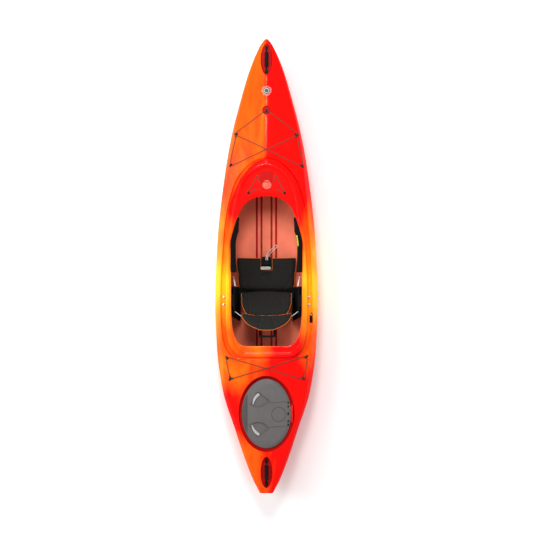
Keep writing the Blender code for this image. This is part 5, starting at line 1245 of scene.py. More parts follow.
def notch_path():
    """The notch in the front edge of the seat, from its port side round to starboard."""
    half, rear = NOTCH_HALF - 0.001, SEAT_FRONT - NOTCH_DEPTH + 0.001
    turns = [math.radians(15 * i) for i in range(7)]
    right = [(half - NOTCH_ROUND + NOTCH_ROUND * math.cos(a),
              rear + NOTCH_ROUND - NOTCH_ROUND * math.sin(a)) for a in turns]
    right = [(half, SEAT_FRONT - 0.004 - 0.01 * i) for i in range(7)] + right
    return [(-x, y) for x, y in right] + [(x, y) for x, y in reversed(right)]


class KAYAK_OT_seat(bpy.types.Operator):
    """Makes the seat cushion, the leg lifter's pad and the two pads of the backrest"""
    bl_idname = "kayak.seat"
    bl_label = "Seat Pads"

    def execute(self, context):
        chosen = context.scene.kayak_seat
        mesh_cloth = cloth("seat_mesh_cloth", tuple(chosen.cloth_colour), threads=330.0, strength=0.7)
        piping = cloth("seat_piping", tuple(chosen.piping_colour), threads=900.0, strength=0.2)
        for make in (self.make_base, self.make_back, self.make_band):
            make(mesh_cloth, piping, finish_of("thread"), chosen.swell)
        return {"FINISHED"}

    def make_base(self, mesh_cloth, piping, thread, swell):
        """One cover over the seat and its leg lifter, across the split between them."""
        cover = puffed("seat_cushion_cover", ["seat_cushion", "leg_lifter_pad"], None, mesh_cloth,
                       swell, closed_split)
        seams = [[(side * (seat_half(y) - 0.004 + (y + 0.036) * 0.50), y, 0.0)
                  for y in (-0.030 - 0.012 * i for i in range(13))] for side in (-1, 1)]
        sewn(cover, seams, UP)
        tree = tree_of(cover)
        half = [(seat_half(y), y) for y in (SEAT_REAR + 0.010 + 0.0055 * i for i in range(41))]
        corner = [(SEAT_HALF_FRONT - 0.003, SEAT_FRONT - 0.003)]
        front = [(0.206 - 0.006 * i, SEAT_FRONT) for i in range(27)]
        points = [(-x, y) for x, y in half + corner + front] + notch_path()
        points += [(x, y) for x, y in reversed(half + corner + front)]
        ways = [(-1, 0)] * len(half) + [(-1, 1)] + [(0, 1)] * len(front)
        notch = notch_path()
        inner = []
        for index in range(len(notch)):
            before, after = notch[max(index - 1, 0)], notch[min(index + 1, len(notch) - 1)]
            inner.append((before[1] - after[1], after[0] - before[0]))
        ways = ways + inner + [(-x, y) for x, y in reversed(ways)]
        line = []
        for (x, y), (way_x, way_y) in zip(points, ways):
            reach = 0.02 if abs(x) < NOTCH_HALF + 0.002 else 0.08
            line += hugged(tree, [(x, y, 0.086)], [(way_x, way_y, 0)], (0, 0, 0.008), reach)
        cord = piece("seat_piping", tube(spread(line, 0.005), PIPING_RADIUS, 6), None, piping, "seat_fabric")
        rows = piece("seat_stitches", self.stitch_rows(tree, seams, UP), None, thread, "seat_fabric")
        for item in (cover, cord, rows):
            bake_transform(item)

    def stitch_rows(self, tree, lines, out):
        parts = []
        for line in lines:
            laid = dropped(tree, spread([Vector(p) for p in line], 0.004), out, -0.0003, 0.3)
            if len(laid) > 2:
                parts.append(stitches(laid, out))
        return merged(parts)

    def trim(self, name, tree, rows, edge, ways, cloths, reach=0.08, closed=0):
        """Stitches along rows and piping round the edge of one backrest pad."""
        out, body, (piping, thread) = back_out(), "backrest_cushions", cloths
        piece(f"{name}_stitches", self.stitch_rows(tree, rows, out), body, thread, "seat_fabric")
        line = hugged(tree, edge, ways, out * 0.008, reach)
        piece(f"{name}_piping", tube(spread(line + line[:closed], 0.006), PIPING_RADIUS, 6), body, piping,
              "seat_fabric")

    def make_back(self, mesh_cloth, piping, thread, swell):
        pad = puffed("backrest_cover", ["backrest_pad"], "backrest_cushions", mesh_cloth, swell,
                     raised_foot)
        for vert in pad.data.vertices:
            vert.co.x *= BACK_WIDER
        wings = [[back_point(side * (0.136 - 0.10 * (s - 0.03)), s,
                             0.0) for s in (0.012 + 0.009 * i for i in range(23))]
                 for side in (-1, 1)]
        foot = [back_point(x, 0.016 + 0.012 * (1 - (x / 0.15) ** 2), 0.0)
                for x in (-0.170 + 0.01 * i for i in range(35))]
        sewn(pad, wings + [foot], back_out(), 0.0035)
        inside = [[p + Vector((0.006 if p.x < 0 else -0.006, 0, 0)) for p in wing] for wing in wings]
        inside += [[p + Vector((0, -0.006, 0)) for p in foot]]
        c, d = math.cos(BACK_ANGLE), math.sin(BACK_ANGLE)
        points, ways = [], []
        for i in range(38):
            s = 0.014 + (BACK_SPAN[1] - 0.020) * i / 37
            turn = max(0.0, (s - 0.15) / 0.068)
            points.append(back_point(BACK_WIDER * curve_at(BACK_HALF, s), s, 0.008))
            ways.append(Vector((1.0, -c * turn, d * turn)))
        for i in range(13):
            points.append(back_point(0.108 - 0.009 * i, BACK_SPAN[1], 0.010))
            ways.append(Vector((0.0, -c, d)))
        for half in (points, ways):
            half += [Vector((-p.x, p.y, p.z)) for p in reversed(half[:-1])]
        self.trim("backrest", tree_of(pad), inside, points, ways, (piping, thread))
        bar = [back_point(x, s, BAIL_BEHIND) for x, s in (
            (-0.048, 0.300), (-0.048, 0.345), (-0.046, 0.370), (-0.036, 0.376), (0.044, 0.376), (0.054, 0.370),
            (0.056, 0.345), (0.056, 0.300))]
        piece("backrest_bail", tube(smooth_path(bar, 5), 0.0070, 10), "backrest_swing", finish_of("black"),
              "black_plastic")

    def make_band(self, mesh_cloth, piping, thread, swell):
        band = puffed("backrest_band_cover", ["backrest_band"], "backrest_cushions", mesh_cloth,
                      swell)
        lines = [[back_point(side * (0.030 + 0.25 * (s - 0.222)), s,
                             0.0) for s in (0.226 + 0.008 * i for i in range(16))]
                 for side in (-1, 1)]
        sewn(band, lines, back_out(), 0.0030)
        beside = [[p + Vector((0.005, 0, 0)) for p in line] for line in lines]
        points, ways = [], []
        c, d = math.cos(BACK_ANGLE), math.sin(BACK_ANGLE)
        low, high = BAND_SPAN
        for i in range(61):
            a = math.pi * i / 60
            s = low + 0.02 + (high - low - 0.02) * math.sin(a)
            half = curve_at(BAND_HALF, s)
            x = half * math.copysign(1, math.cos(a)) if abs(math.cos(a)) > 0.26 else 0.045 / 0.26 * math.cos(a)
            points.append(back_point(x, s, 0.010))
            ways.append(Vector((0.8 * math.cos(a), -c * math.sin(a), d * math.sin(a))))
        for i in range(35):
            points.append(back_point(-0.170 + 0.010 * i, low, 0.010))
            ways.append(Vector((0.0, c, -d)))
        self.trim("backrest_band", tree_of(band), beside, points, ways, (piping, thread), 0.05, 1)


# Fittings: sizes shared with the frame
CORD_RADIUS = 0.0027
LIFTER_CORD = 0.0025
SKEG_LINE = 0.0018
GRIP_HALF_LENGTH = 0.050
GRIP_RADIUS = 0.0125
GRIP_REST = 0.0085
ANCHOR_LENGTH = 0.027
ANCHOR_HEIGHT = 0.011
SEAT_GAP = 0.0004
GRIP_BORE = 0.0062
GRIP_LEVELS = {"bow": (BOW_HANDLE_Y, 0.34956), "stern": (STERN_HANDLE_Y, 0.31746)}
COVER_BASE = 0.2858
COVER_EDGE = 0.012
COVER_CROWN = 0.012
LATCH_FLOOR = COVER_BASE + COVER_EDGE + COVER_CROWN * 0.62 - 0.006
LATCH_X = -0.059
LATCHES = {
    "front": (0.134, math.radians(-118), math.radians(-38)),
    "rear": (-0.144, math.radians(124), math.radians(39)),
}
LATCH_LENGTH = 0.079
HINGE_AXIS = Vector((0.1815, HATCH_Y, 0.296))
HINGE_HALF_LENGTH = 0.054

# Routes of the cords in metres, as in the frame
CORD_ROUTES = {
    "backrest_cord_port": [(-0.17, -0.3591, 0.2753), (-0.179, -0.3526, 0.2712), (-0.188, -0.3461, 0.2671),
        (-0.197, -0.3396, 0.2631), (-0.206, -0.333, 0.259), (-0.215, -0.3265, 0.2549),
        (-0.224, -0.32, 0.2508)],
    "bow_deck_cord": [(-0.2174, 0.9143, 0.3098), (-0.22, 0.9026, 0.3122), (-0.2262, 0.8753, 0.3091),
        (-0.235, 0.8364, 0.3084), (-0.2438, 0.7974, 0.3077), (-0.2526, 0.7584, 0.307),
        (-0.2588, 0.7311, 0.3091), (-0.2614, 0.7195, 0.314), (-0.2478, 0.7093, 0.314),
        (-0.2201, 0.722, 0.3189), (-0.1554, 0.7516, 0.3299), (-0.063, 0.794, 0.3478), (0, 0.8228, 0.3563),
        (0.0294, 0.8363, 0.3528), (0.1218, 0.8787, 0.3349), (0.1864, 0.9083, 0.3209),
        (0.2141, 0.921, 0.3157), (0.2158, 0.9379, 0.3157), (0.2034, 0.9472, 0.3151),
        (0.1744, 0.9689, 0.3192), (0.1329, 1, 0.3292), (0.0914, 1.031, 0.3392), (0.05, 1.062, 0.3487),
        (0.0209, 1.0837, 0.3563), (0.0085, 1.093, 0.3547), (-0.0085, 1.093, 0.3547),
        (-0.021, 1.084, 0.3563), (-0.0503, 1.063, 0.3486), (-0.0922, 1.033, 0.339),
        (-0.134, 1.0029, 0.3288), (-0.1758, 0.9729, 0.3187), (-0.2051, 0.9519, 0.3144),
        (-0.2176, 0.9429, 0.315), (-0.2159, 0.926, 0.315), (-0.1882, 0.9126, 0.3203),
        (-0.1234, 0.8815, 0.3346), (-0.0308, 0.8369, 0.3586), (-0.0008, 0.8225, 0.3641),
        (0.0617, 0.7924, 0.3503), (0.1543, 0.7478, 0.3303), (0.2191, 0.7166, 0.3193),
        (0.2468, 0.7033, 0.3144), (0.2604, 0.7135, 0.3144), (0.2577, 0.7252, 0.3096),
        (0.2514, 0.7526, 0.3075), (0.2424, 0.7918, 0.3083), (0.2334, 0.831, 0.309),
        (0.2244, 0.8701, 0.3098), (0.2181, 0.8976, 0.313), (0.2154, 0.9093, 0.3106)],
    "dash_cord": [(-0.0455, 0.5415, 0.359), (-0.0708, 0.537, 0.3575), (-0.0957, 0.531, 0.3565),
        (-0.1169, 0.5168, 0.3552), (-0.1378, 0.5112, 0.3538), (-0.1251, 0.5333, 0.355),
        (-0.111, 0.5548, 0.356), (-0.0974, 0.5765, 0.3568), (-0.0854, 0.5992, 0.3573),
        (-0.0739, 0.6222, 0.3578), (-0.0606, 0.6422, 0.359), (-0.0617, 0.6168, 0.359),
        (-0.0511, 0.5968, 0.359), (-0.0256, 0.5937, 0.359), (0, 0.5929, 0.359)],
    "leg_lifter_cord": [(-0.004, 0.0445, 0.086), (-0.0034, 0.0561, 0.0868), (-0.0018, 0.0668, 0.0828),
        (0.0004, 0.076, 0.076), (0.0029, 0.0833, 0.0673), (0.0055, 0.0894, 0.0578),
        (0.0087, 0.0951, 0.0481), (0.0123, 0.1003, 0.0384), (0.0165, 0.1053, 0.0288),
        (0.0219, 0.1111, 0.0202), (0.0288, 0.1178, 0.0137), (0.0371, 0.1254, 0.0109),
        (0.0455, 0.1334, 0.0103), (0.0537, 0.1417, 0.0105), (0.0594, 0.1504, 0.0105),
        (0.068, 0.156, 0.0108), (0.0751, 0.1531, 0.011), (0.078, 0.146, 0.0111),
        (0.0724, 0.1373, 0.011), (0.0622, 0.1291, 0.011),
        (0.0539, 0.1208, 0.0113), (0.0455, 0.1129, 0.0126), (0.0376, 0.1058, 0.017),
        (0.0311, 0.0999, 0.0247), (0.0257, 0.0951, 0.0338), (0.0208, 0.091, 0.0435),
        (0.0167, 0.0863, 0.0534), (0.0135, 0.0814, 0.0634), (0.0107, 0.0752, 0.0729),
        (0.0088, 0.0666, 0.0804), (0.0077, 0.0561, 0.0852), (0.0075, 0.0445, 0.086)],
    "skeg_line": [(0.3195, -0.3325, 0.2847), (0.3195, -0.3325, 0.2774), (0.3195, -0.3325, 0.2703),
        (0.3186, -0.3335, 0.2621), (0.3174, -0.3418, 0.2534), (0.3158, -0.3577, 0.2439),
        (0.3141, -0.3822, 0.2362), (0.3127, -0.4215, 0.2298), (0.3121, -0.4611, 0.2251),
        (0.3109, -0.5007, 0.2209), (0.308, -0.5403, 0.217), (0.3023, -0.5795, 0.2131),
        (0.2941, -0.6183, 0.2095), (0.2843, -0.6568, 0.2062), (0.2736, -0.6951, 0.2031),
        (0.2625, -0.7332, 0.2001), (0.2516, -0.7715, 0.1976), (0.2406, -0.8097, 0.1956),
        (0.2292, -0.8479, 0.1936), (0.2172, -0.8858, 0.1914), (0.2042, -0.9234, 0.1886),
        (0.1898, -0.9604, 0.185), (0.1736, -0.9965, 0.1802), (0.1561, -1.0318, 0.1747),
        (0.1376, -1.0666, 0.1687), (0.1185, -1.101, 0.1622), (0.0991, -1.1351, 0.1553),
        (0.0798, -1.1692, 0.1479), (0.0597, -1.2022, 0.1383), (0.0383, -1.2335, 0.1262),
        (0.0125, -1.262, 0.118)],
    "stern_deck_cord": [(-0.2608, -0.7752, 0.299), (-0.2624, -0.7677, 0.3017), (-0.2661, -0.7502, 0.2992),
        (-0.2714, -0.7251, 0.2994), (-0.2766, -0.7001, 0.2995), (-0.2819, -0.6751, 0.2996),
        (-0.2856, -0.6575, 0.3024), (-0.2872, -0.65, 0.3072), (-0.2745, -0.6388, 0.3072),
        (-0.2427, -0.6482, 0.3096), (-0.1686, -0.6701, 0.3149), (-0.0627, -0.7014, 0.3204),
        (0, -0.7199, 0.3211), (0.0432, -0.7326, 0.3204), (0.149, -0.7639, 0.3139),
        (0.2231, -0.7858, 0.3073), (0.2549, -0.7952, 0.3042), (0.2691, -0.7858, 0.3042),
        (0.2703, -0.7772, 0.2998), (0.2731, -0.7572, 0.2975), (0.2771, -0.7287, 0.2982),
        (0.2812, -0.7001, 0.2988), (0.2852, -0.6715, 0.2992), (0.288, -0.6515, 0.3022),
        (0.2893, -0.6429, 0.3071), (0.2763, -0.6319, 0.3071), (0.2454, -0.6413, 0.3094),
        (0.1733, -0.6634, 0.3146), (0.0703, -0.6949, 0.3221), (-0.0059, -0.7182, 0.3291),
        (-0.0328, -0.7264, 0.3273), (-0.1358, -0.7579, 0.3152), (-0.2079, -0.7799, 0.3096),
        (-0.2388, -0.7894, 0.3021)],
}
CORD_ROUTES["backrest_cord_starboard"] = [(-x, y, z) for x, y, z in CORD_ROUTES["backrest_cord_port"]]
CORD_ROUTES["dash_cord"] += [(-x, y, z) for x, y, z in reversed(CORD_ROUTES["dash_cord"][:-1])]


class FittingSettings(bpy.types.PropertyGroup):
    lid_colour: FloatVectorProperty(
        name="Lid Colour", description="Grey of the hatch lid", subtype="COLOR", size=3,
        default=(0.135, 0.128, 0.125))
    lever_colour: FloatVectorProperty(
        name="Lever Colour", description="Grey of the latch levers", subtype="COLOR", size=3,
        default=(0.40, 0.38, 0.38))
    cord_sides: IntProperty(name="Cord Sides", description="Flat faces round a cord", default=10, min=6, max=24)


def finish_of(key):
    """The plastics, metals and cloths of the fittings, by a short key."""
    chosen = bpy.context.scene.kayak_fittings
    lid = tuple(chosen.lid_colour)
    make, *values = {
        "black": (plastic, "black_moulding", (0.004, 0.004, 0.004), 0.50, 1100.0, 0.15),
        "eye": (plastic, "eye_moulding", (0.030, 0.028, 0.027), 0.36, 900.0, 0.10),
        "rubber": (plastic, "grip_rubber_moulding", (0.005, 0.005, 0.005), 0.62, 700.0, 0.35),
        "seal": (plastic, "seal_rubber_moulding", (0.004, 0.004, 0.004), 0.85, 500.0, 0.3),
        "lid": (plastic, "hatch_moulding", lid, 0.42, 1500.0, 0.12, 0.03),
        # Darker copy of the lid's grey: painted shade on the lid's port slope and on its ribs
        "lid_painted_shade": (plastic, "hatch_shaded_moulding", tuple(c * 0.62 for c in lid), 0.5, 1500.0, 0.2, 0.03),
        "hinge": (plastic, "hinge_moulding", (0.72, 0.012, 0.006), 0.4, 900.0, 0.1),
        "lever": (plastic, "latch_moulding", tuple(chosen.lever_colour), 0.36, 1200.0, 0.10, 0.10),
        "pale": (plastic, "pale_moulding", (0.66, 0.62, 0.58), 0.38, 900.0, 0.08, 0.08),
        # Paler salmon for the dash boss: a painted highlight on the hull's own plastic
        "boss": (plastic, "boss_moulding", (0.90, 0.13, 0.085), 0.40, 700.0, 0.25),
        "badge": (plastic, "badge_moulding", (0.012, 0.012, 0.013), 0.25, 900.0, 0.03),
        "foam": (plastic, "bulkhead_foam", (0.030, 0.031, 0.032), 0.9, 260.0, 0.9),
        "blade": (plastic, "skeg_moulding", (0.022, 0.022, 0.024), 0.4, 1000.0, 0.12),
        # Darker red for the cockpit floor's grooves: painted shade
        "groove": (plastic, "floor_groove", (0.42, 0.006, 0.003), 0.45, 700.0, 0.15),
        # Darker red for the hull's recesses, scoop and dash tray: painted shade in the hollows, on the same
        # moulding
        "recess": (plastic, "recess_red", (0.46, 0.002, 0.001), 0.60, 400.0, 0.08, 0.06),
        "steel": (metal, "stainless_steel", (0.62, 0.61, 0.60), 0.28),
        "webbing": (cloth, "black_webbing", (0.016, 0.016, 0.017), 900.0, 0.5),
        "white_web": (cloth, "white_webbing", (0.66, 0.64, 0.60), 900.0, 0.5),
        "red_tab": (cloth, "red_tab_cloth", (0.52, 0.025, 0.012), 1100.0, 0.4),
        "lime": (cloth, "lime_tape", (0.42, 0.60, 0.03), 1300.0, 0.3),
        "pad": (cloth, "thigh_pad_cloth", (0.007, 0.007, 0.007), 620.0, 0.6),
        "thread": (cloth, "seat_thread", (0.26, 0.26, 0.25), 1500.0, 0.1),
        "shock": (braid, "shock_cord_braid", (0.120, 0.050, 0.022), (0.24, 0.12, 0.07)),
        "line": (braid, "pull_cord_braid", (0.93, 0.91, 0.90), (0.98, 0.97, 0.96)),
    }[key]
    return make(*values)


@made_once
def metal(name, colour, roughness):
    """Turned steel with fine drawn marks."""
    made, tree, shader = base_material(name, roughness, Metallic=1.0)
    shader.inputs["Base Color"].default_value = (*colour, 1.0)
    grained(tree, shader, 0.08, 0.0001, Scale=1800.0, Roughness=roughness)
    return made


@made_once
def braid(name, colour, fleck):
    """Woven sheath of a cord: strands that cross both ways, darker where they dip as painted shade between the
    strands, with lighter flecks, along its own lay.
    """
    made, tree, shader = base_material(name, 0.75, Sheen_Weight=0.2)
    across, run, _ = split(tree, coordinates(tree, "UV"))
    strands = [run.made("SINE", (across * 8.0 + run * (420.0 * sign)) * (2 * math.pi)) for sign in (1.0, -1.0)]
    shade = (strands[0] * strands[1] + 1.0) * 0.5
    mixed = placed_node(tree, "ShaderNodeMix", {"data_type": "RGBA"})
    run.made("GREATER_THAN", strands[0] * shade, 0.72).feeds(mixed.inputs["Factor"])
    # Darker where the strands dip: painted shade between the strands
    darker = tuple(c * 0.6 for c in colour)
    tree.links.new(ramp_node(tree, shade.socket, [(0.0, darker), (0.8, colour)]), mixed.inputs["A"])
    mixed.inputs["B"].default_value = (*fleck, 1.0)
    tree.links.new(mixed.outputs["Result"], shader.inputs["Base Color"])
    bumped(tree, shader, shade.socket, 0.5, 0.0004)
    return made


def cord_piece(name, points, radius, body, finish, slot, **extra):
    """A round cord with its own lengthwise coordinates, so that the braid follows it."""
    sides = bpy.context.scene.kayak_fittings.cord_sides
    bm = tube(points, radius, sides)
    bm.verts.ensure_lookup_table()
    runs = [0.0]
    for a, b in zip(points, points[1:]):
        runs.append(runs[-1] + (b - a).length)
    layer = bm.loops.layers.uv.new("UVMap")
    for face in bm.faces:
        turns = [loop.vert.index % sides for loop in face.loops]
        wraps = max(turns) - min(turns) > sides / 2
        for loop, turn in zip(face.loops, turns):
            share_of = (turn + sides if wraps and turn == 0 else turn) / sides
            loop[layer].uv = (share_of, runs[min(loop.vert.index // sides, len(runs) - 1)])
    return piece(name, bm, body, finish, slot, **extra)


def lathe(profile, start, axis=UP, sides=32):
    """Turned solid: profile points are (distance along, radius) from start along an axis."""
    axis = Vector(axis).normalized()
    first = axis.orthogonal().normalized()
    second = axis.cross(first)
    turns = [2 * math.pi * i / sides for i in range(sides)]
    return bridged([[Vector(start) + axis * run + radius * (math.cos(a) * first + math.sin(a) * second)
                     for a in turns] for run, radius in profile])


def looped(rings):
    """Skin through rings that come back to the first one."""
    bm = bridged(rings + [rings[0]], caps=False)
    bmesh.ops.remove_doubles(bm, verts=bm.verts, dist=1e-6)
    bmesh.ops.recalc_face_normals(bm, faces=bm.faces)
    return bm


def ribbon(path, section):
    """Band along a path, its section given by corners in metres from the path."""
    return bridged([[point + Vector(corner) for corner in section] for point in path])


def block(low, high, bevel=0.001):
    """Box with rounded edges."""
    bm = bmesh.new()
    bmesh.ops.create_cube(bm, size=1.0)
    middle = [(a + b) / 2 for a, b in zip(low, high)]
    for vert in bm.verts:
        vert.co = Vector([m + c * (b - a) for m, c, a, b in zip(middle, vert.co, low, high)])
    bmesh.ops.bevel(bm, geom=bm.edges, offset=bevel, segments=3, affect="EDGES", profile=0.5)
    return bm


def rounded_prism(points, low, high, rim):
    """Upright solid over a plan outline with its top edge rounded over."""
    rings = [[(x, y, low) for x, y in points]]
    for i in range(4):
        a = math.pi / 2 * i / 3
        rings.append([(x, y, high - rim * (1 - math.sin(a))) for x,
                      y in outset(points, -rim * (1 - math.cos(a)))])
    return bridged(rings)


def turned(points, centre, angle):
    """Plan points turned about their origin and moved to a centre."""
    c, s = math.cos(angle), math.sin(angle)
    return [(centre[0] + x * c - y * s, centre[1] + x * s + y * c) for x, y in points]


def knot(centre, along_it, radius, size):
    """Small overhand knot drawn up tight."""
    run = Vector(along_it).normalized()
    side = run.cross(UP).normalized()
    up = side.cross(run)
    points = []
    for i in range(36):
        t = 2 * math.pi * i / 36
        x, y, z = math.sin(t) + 2 * math.sin(2 * t), math.cos(t) - 2 * math.cos(2 * t), -math.sin(3 * t)
        points.append(Vector(centre) + (run * x + side * y) * size / 3 + up * z * size / 2)
    return tube(points, radius, 8, closed=True)


class KAYAK_OT_cords(bpy.types.Operator):
    """Lays the shock cords, the pull cords and the skeg line along the frame's routes"""
    bl_idname = "kayak.cords"
    bl_label = "Cords"

    def execute(self, context):
        shock, line = finish_of("shock"), finish_of("line")
        self.deck_cord("bow_deck_cord", shock)
        self.deck_cord("stern_deck_cord", shock)
        self.plain("dash_cord", CORD_RADIUS, shock, "shock_cord", "taut", "stiff")
        self.plain("leg_lifter_cord", LIFTER_CORD, line, "line_cord", "loose", "medium")
        for word in ("port", "starboard"):
            self.plain(f"backrest_cord_{word}", LIFTER_CORD, line, "line_cord", "taut", "medium")
        self.plain("skeg_line", SKEG_LINE, line, "line_cord", "taut", "medium")
        return {"FINISHED"}

    def route(self, name):
        points = CORD_ROUTES[name]
        return along(smooth_path(points, 3), [i / (2 * len(points)) for i in range(2 * len(points) + 1)])

    def plain(self, name, radius, finish, slot, lay, stiffness, pieces=()):
        points = self.route(name)
        item = cord_piece(f"{name}_braided", points, radius, BOAT, finish, slot, replaces=[name])
        path_length(points)

    def deck_cord(self, name, finish):
        """A rigging cord with the loop and knot that hold each end to its eye."""
        points = self.route(name)
        knots = []
        for index, (end, inner) in enumerate(((points[0], points[1]), (points[-1], points[-2]))):
            run = (end - inner).normalized()
            centre = end + run * 0.003
            shapes = [knot(centre, run, 0.0021, 0.0058)]
            for side in (-1, 1):
                out = run.cross(UP).normalized() * side
                leg = [centre + run * ahead + out * beside for ahead, beside in (
                    (0.003, 0.002), (0.009, 0.0045), (0.0165, 0.0035))]
                shapes.append(tube(smooth_path(leg, 5), 0.0019, 8))
            shapes.append(tube([centre - run * back + Vector((aside, 0, up)) for back, aside, up in (
                (0.003, 0, 0.001), (0.012, 0, 0.004), (0.018, 0.002, 0.004))], 0.0021, 8))
            knots.append(piece(f"{name}_knot_{index + 1}", merged(shapes), BOAT, finish, "shock_cord"))
        self.plain(name, CORD_RADIUS, finish, "shock_cord", "taut", "stiff", knots)


class KAYAK_OT_handles(bpy.types.Operator):
    """Makes the carry handles' grips, webbing and screws"""
    bl_idname = "kayak.handles"
    bl_label = "Carry Handles"

    def execute(self, context):
        for end, (y, height) in GRIP_LEVELS.items():
            self.grip(end, y, height)
            self.strap(end, y, height)
            self.screws(end, y, height)
        return {"FINISHED"}

    def grip(self, end, y, height, sides=40):
        """Hollow turned grip with a rolled rim at each end and finger waves between."""
        long = 2 * GRIP_HALF_LENGTH
        rim = [(0.0, 0.0122), (0.0010, 0.0140), (0.0030, 0.0148), (0.0065, 0.0148), (0.0085, 0.0139),
               (0.0095, 0.0133)]
        profile = list(rim)
        for i in range(25):
            part = i / 24
            wave = 0.0006 * math.cos(2 * math.pi * part * 6)
            profile.append((0.0125 + part * (long - 0.025),
                            0.0136 - 0.0006 + 0.0009 * math.sin(math.pi * part) + wave))
        profile += [(long - run, r) for run, r in reversed(rim)]
        profile += [(long, GRIP_BORE + 0.0008), (long - 0.002, GRIP_BORE), (0.002, GRIP_BORE),
                    (0.0, GRIP_BORE + 0.0008)]
        rings = [[Vector((r * math.cos(a), y - GRIP_HALF_LENGTH + run, height + r * math.sin(a))) for run,
                  r in profile]
                 for a in (2 * math.pi * i / sides for i in range(sides))]
        piece(f"{end}_grip_moulding", looped(rings), f"{end}_grip", finish_of("rubber"), "grip_rubber",
              replaces=[f"{end}_handle_grip"], angle=50)

    def strap(self, end, y, height):
        low = height - GRIP_REST - GRIP_RADIUS + SEAT_GAP + ANCHOR_HEIGHT * 0.55
        reach = HANDLE_HALF_LENGTH - ANCHOR_LENGTH - SEAT_GAP
        line = [Vector((0.0, y + part * reach, low + rise * (height - low))) for part, rise in (
            (-1.0, 0.0), (-0.93, 0.12), (-0.86, 0.85), (-0.78, 1.0), (0.78, 1.0), (0.86, 0.85), (0.93, 0.12),
            (1.0, 0.0))]
        section = [(dx * 0.0050, 0, dz * 0.0010) for dx, dz in (
            (-1, -0.4), (-0.94, -1), (0.94, -1), (1, -0.4), (1, 0.4), (0.94, 1), (-0.94, 1), (-1, 0.4))]
        band = ribbon(smooth_path(line[:4], 6) + smooth_path(line[4:], 6), section)
        strap = piece(f"{end}_strap", band, None, finish_of("webbing"), "webbing",
                      replaces=[f"{end}_handle_webbing"])
        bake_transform(strap)

    def screws(self, end, y, height):
        """Pan-head screws that hold the two anchors down."""
        top = height - GRIP_REST - GRIP_RADIUS + SEAT_GAP + ANCHOR_HEIGHT
        head = [(0, 0.0048), (0.0012, 0.0048), (0.0020, 0.0040), (0.0024, 0.0022), (0.0017, 0.0019),
                (0.0010, 0.0008)]
        heads = [lathe(head, (0.0, y + sign * 0.083, top - 0.0006), sides=24) for sign in (-1, 1)]
        piece(f"{end}_handle_screws", merged(heads), BOAT, finish_of("black"), "black_plastic")


class KAYAK_OT_deck_details(bpy.types.Operator):
    """Makes the badge, the dash mouldings, the seat bolts and the skeg control's teeth"""
    bl_idname = "kayak.deck_details"
    bl_label = "Deck Details"

    def execute(self, context):
        self.badge()
        tree = tree_of(bpy.data.objects["hull_moulding"])
        self.dash(tree)
        self.bolts(tree)
        self.control()
        return {"FINISHED"}

    def badge(self, count=48):
        """Flat disc on the bow's boss, with a raised ring round it."""
        top = deck_z(0.0, BADGE_Y) + BOSS_RISE
        disc = lathe([(0.0004, 0.0232), (0.0018, 0.0240), (0.0026, 0.0234), (0.0027, 0.0212), (0.0021, 0.0206),
                      (0.0022, 0.001)], (0, BADGE_Y, top), sides=count)
        piece("bow_badge_disc", disc, BOAT, finish_of("badge"), "badge_plastic", replaces=["bow_badge"])
        section = [(0.0165 + dx * 0.0019, dz * 0.0009) for dx, dz in (
            (-1, -1), (-1, 0), (-0.6, 1), (0.6, 1), (1, 0), (1, -1))]
        rings = [[Vector((0, BADGE_Y, top + 0.0023)) + Vector((r * math.cos(a), r * math.sin(a), z)) for r,
                  z in section]
                 for a in (2 * math.pi * i / count for i in range(count))]
        piece("bow_badge_ring", looped(rings), BOAT, finish_of("pale"), "badge_plastic")

    def dash(self, tree):
        spot = dropped(tree, [(0.003, 0.574, 0.0)])[0]
        dome = lathe([(-0.001, 0.032), (0.0016, 0.0315), (0.0026, 0.0300), (0.0026, 0.0278), (0.0016, 0.0262),
                      (0.0018, 0.020), (0.0024, 0.010), (0.0026, 0.001)], spot, sides=48)
        # The boss takes a paler salmon than the hull's plastic: a painted highlight
        piece("dash_boss", dome, BOAT, finish_of("boss"), "hull_plastic")
        hook = [(-0.002, 0.0052), (0.0002, 0.0048), (0.006, 0.0045), (0.0070, 0.0078), (0.0088, 0.0082),
                (0.0098, 0.0070), (0.0101, 0.001)]
        feet = dropped(tree, [(side * 0.1275, 0.5145, 0.0) for side in (-1, 1)])
        piece("dash_hooks", merged([lathe(hook, foot, sides=28) for foot in feet]), BOAT, finish_of("black"),
              "black_plastic")

    def bolts(self, tree):
        profile = [(-0.020, 0.0029), (0.0004, 0.0029), (0.0005, 0.0104), (0.0012, 0.0104), (0.0028, 0.0085),
                   (0.0040, 0.0050), (0.0042, 0.0033), (0.0036, 0.0030), (0.0016, 0.0028)]
        for side, word in ((1, "starboard"), (-1, "port")):
            for index, y in enumerate(SCREW_Y):
                seat = dropped(tree, [(side * (SCREW_X + 0.006), y, 0.0)])[0].z
                piece(f"seat_bolt_{word}_{index + 1}", lathe(profile, (side * SCREW_X, y, seat), sides=30),
                      BOAT,
                      finish_of("steel"), "steel", replaces=[f"seat_screw_{word}_{index + 1}"])

    def control(self, thick=0.0010, deep=0.0013, lean=0.0022):
        """Teeth inside the clam cleat that grips the skeg line."""
        low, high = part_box("skeg_cleat")
        middle = (low[0] + high[0]) / 2
        bottom, top = low[2] + 0.0042, high[2] - 0.0040
        teeth = []
        for side in (-1, 1):
            for i in range(9):
                y = low[1] + 0.004 + i * 0.0046
                corners = [(0.0, bottom), (deep, bottom), (deep, top), (0.0, top)]
                teeth.append(bridged([[(middle + side * (0.0058 - out), y + lean * out / deep + dy, z)
                                       for out, z in corners] for dy in (0.0, thick)]))
        piece("skeg_cleat_teeth", merged(teeth), BOAT, finish_of("black"), "black_plastic", smooth=False)


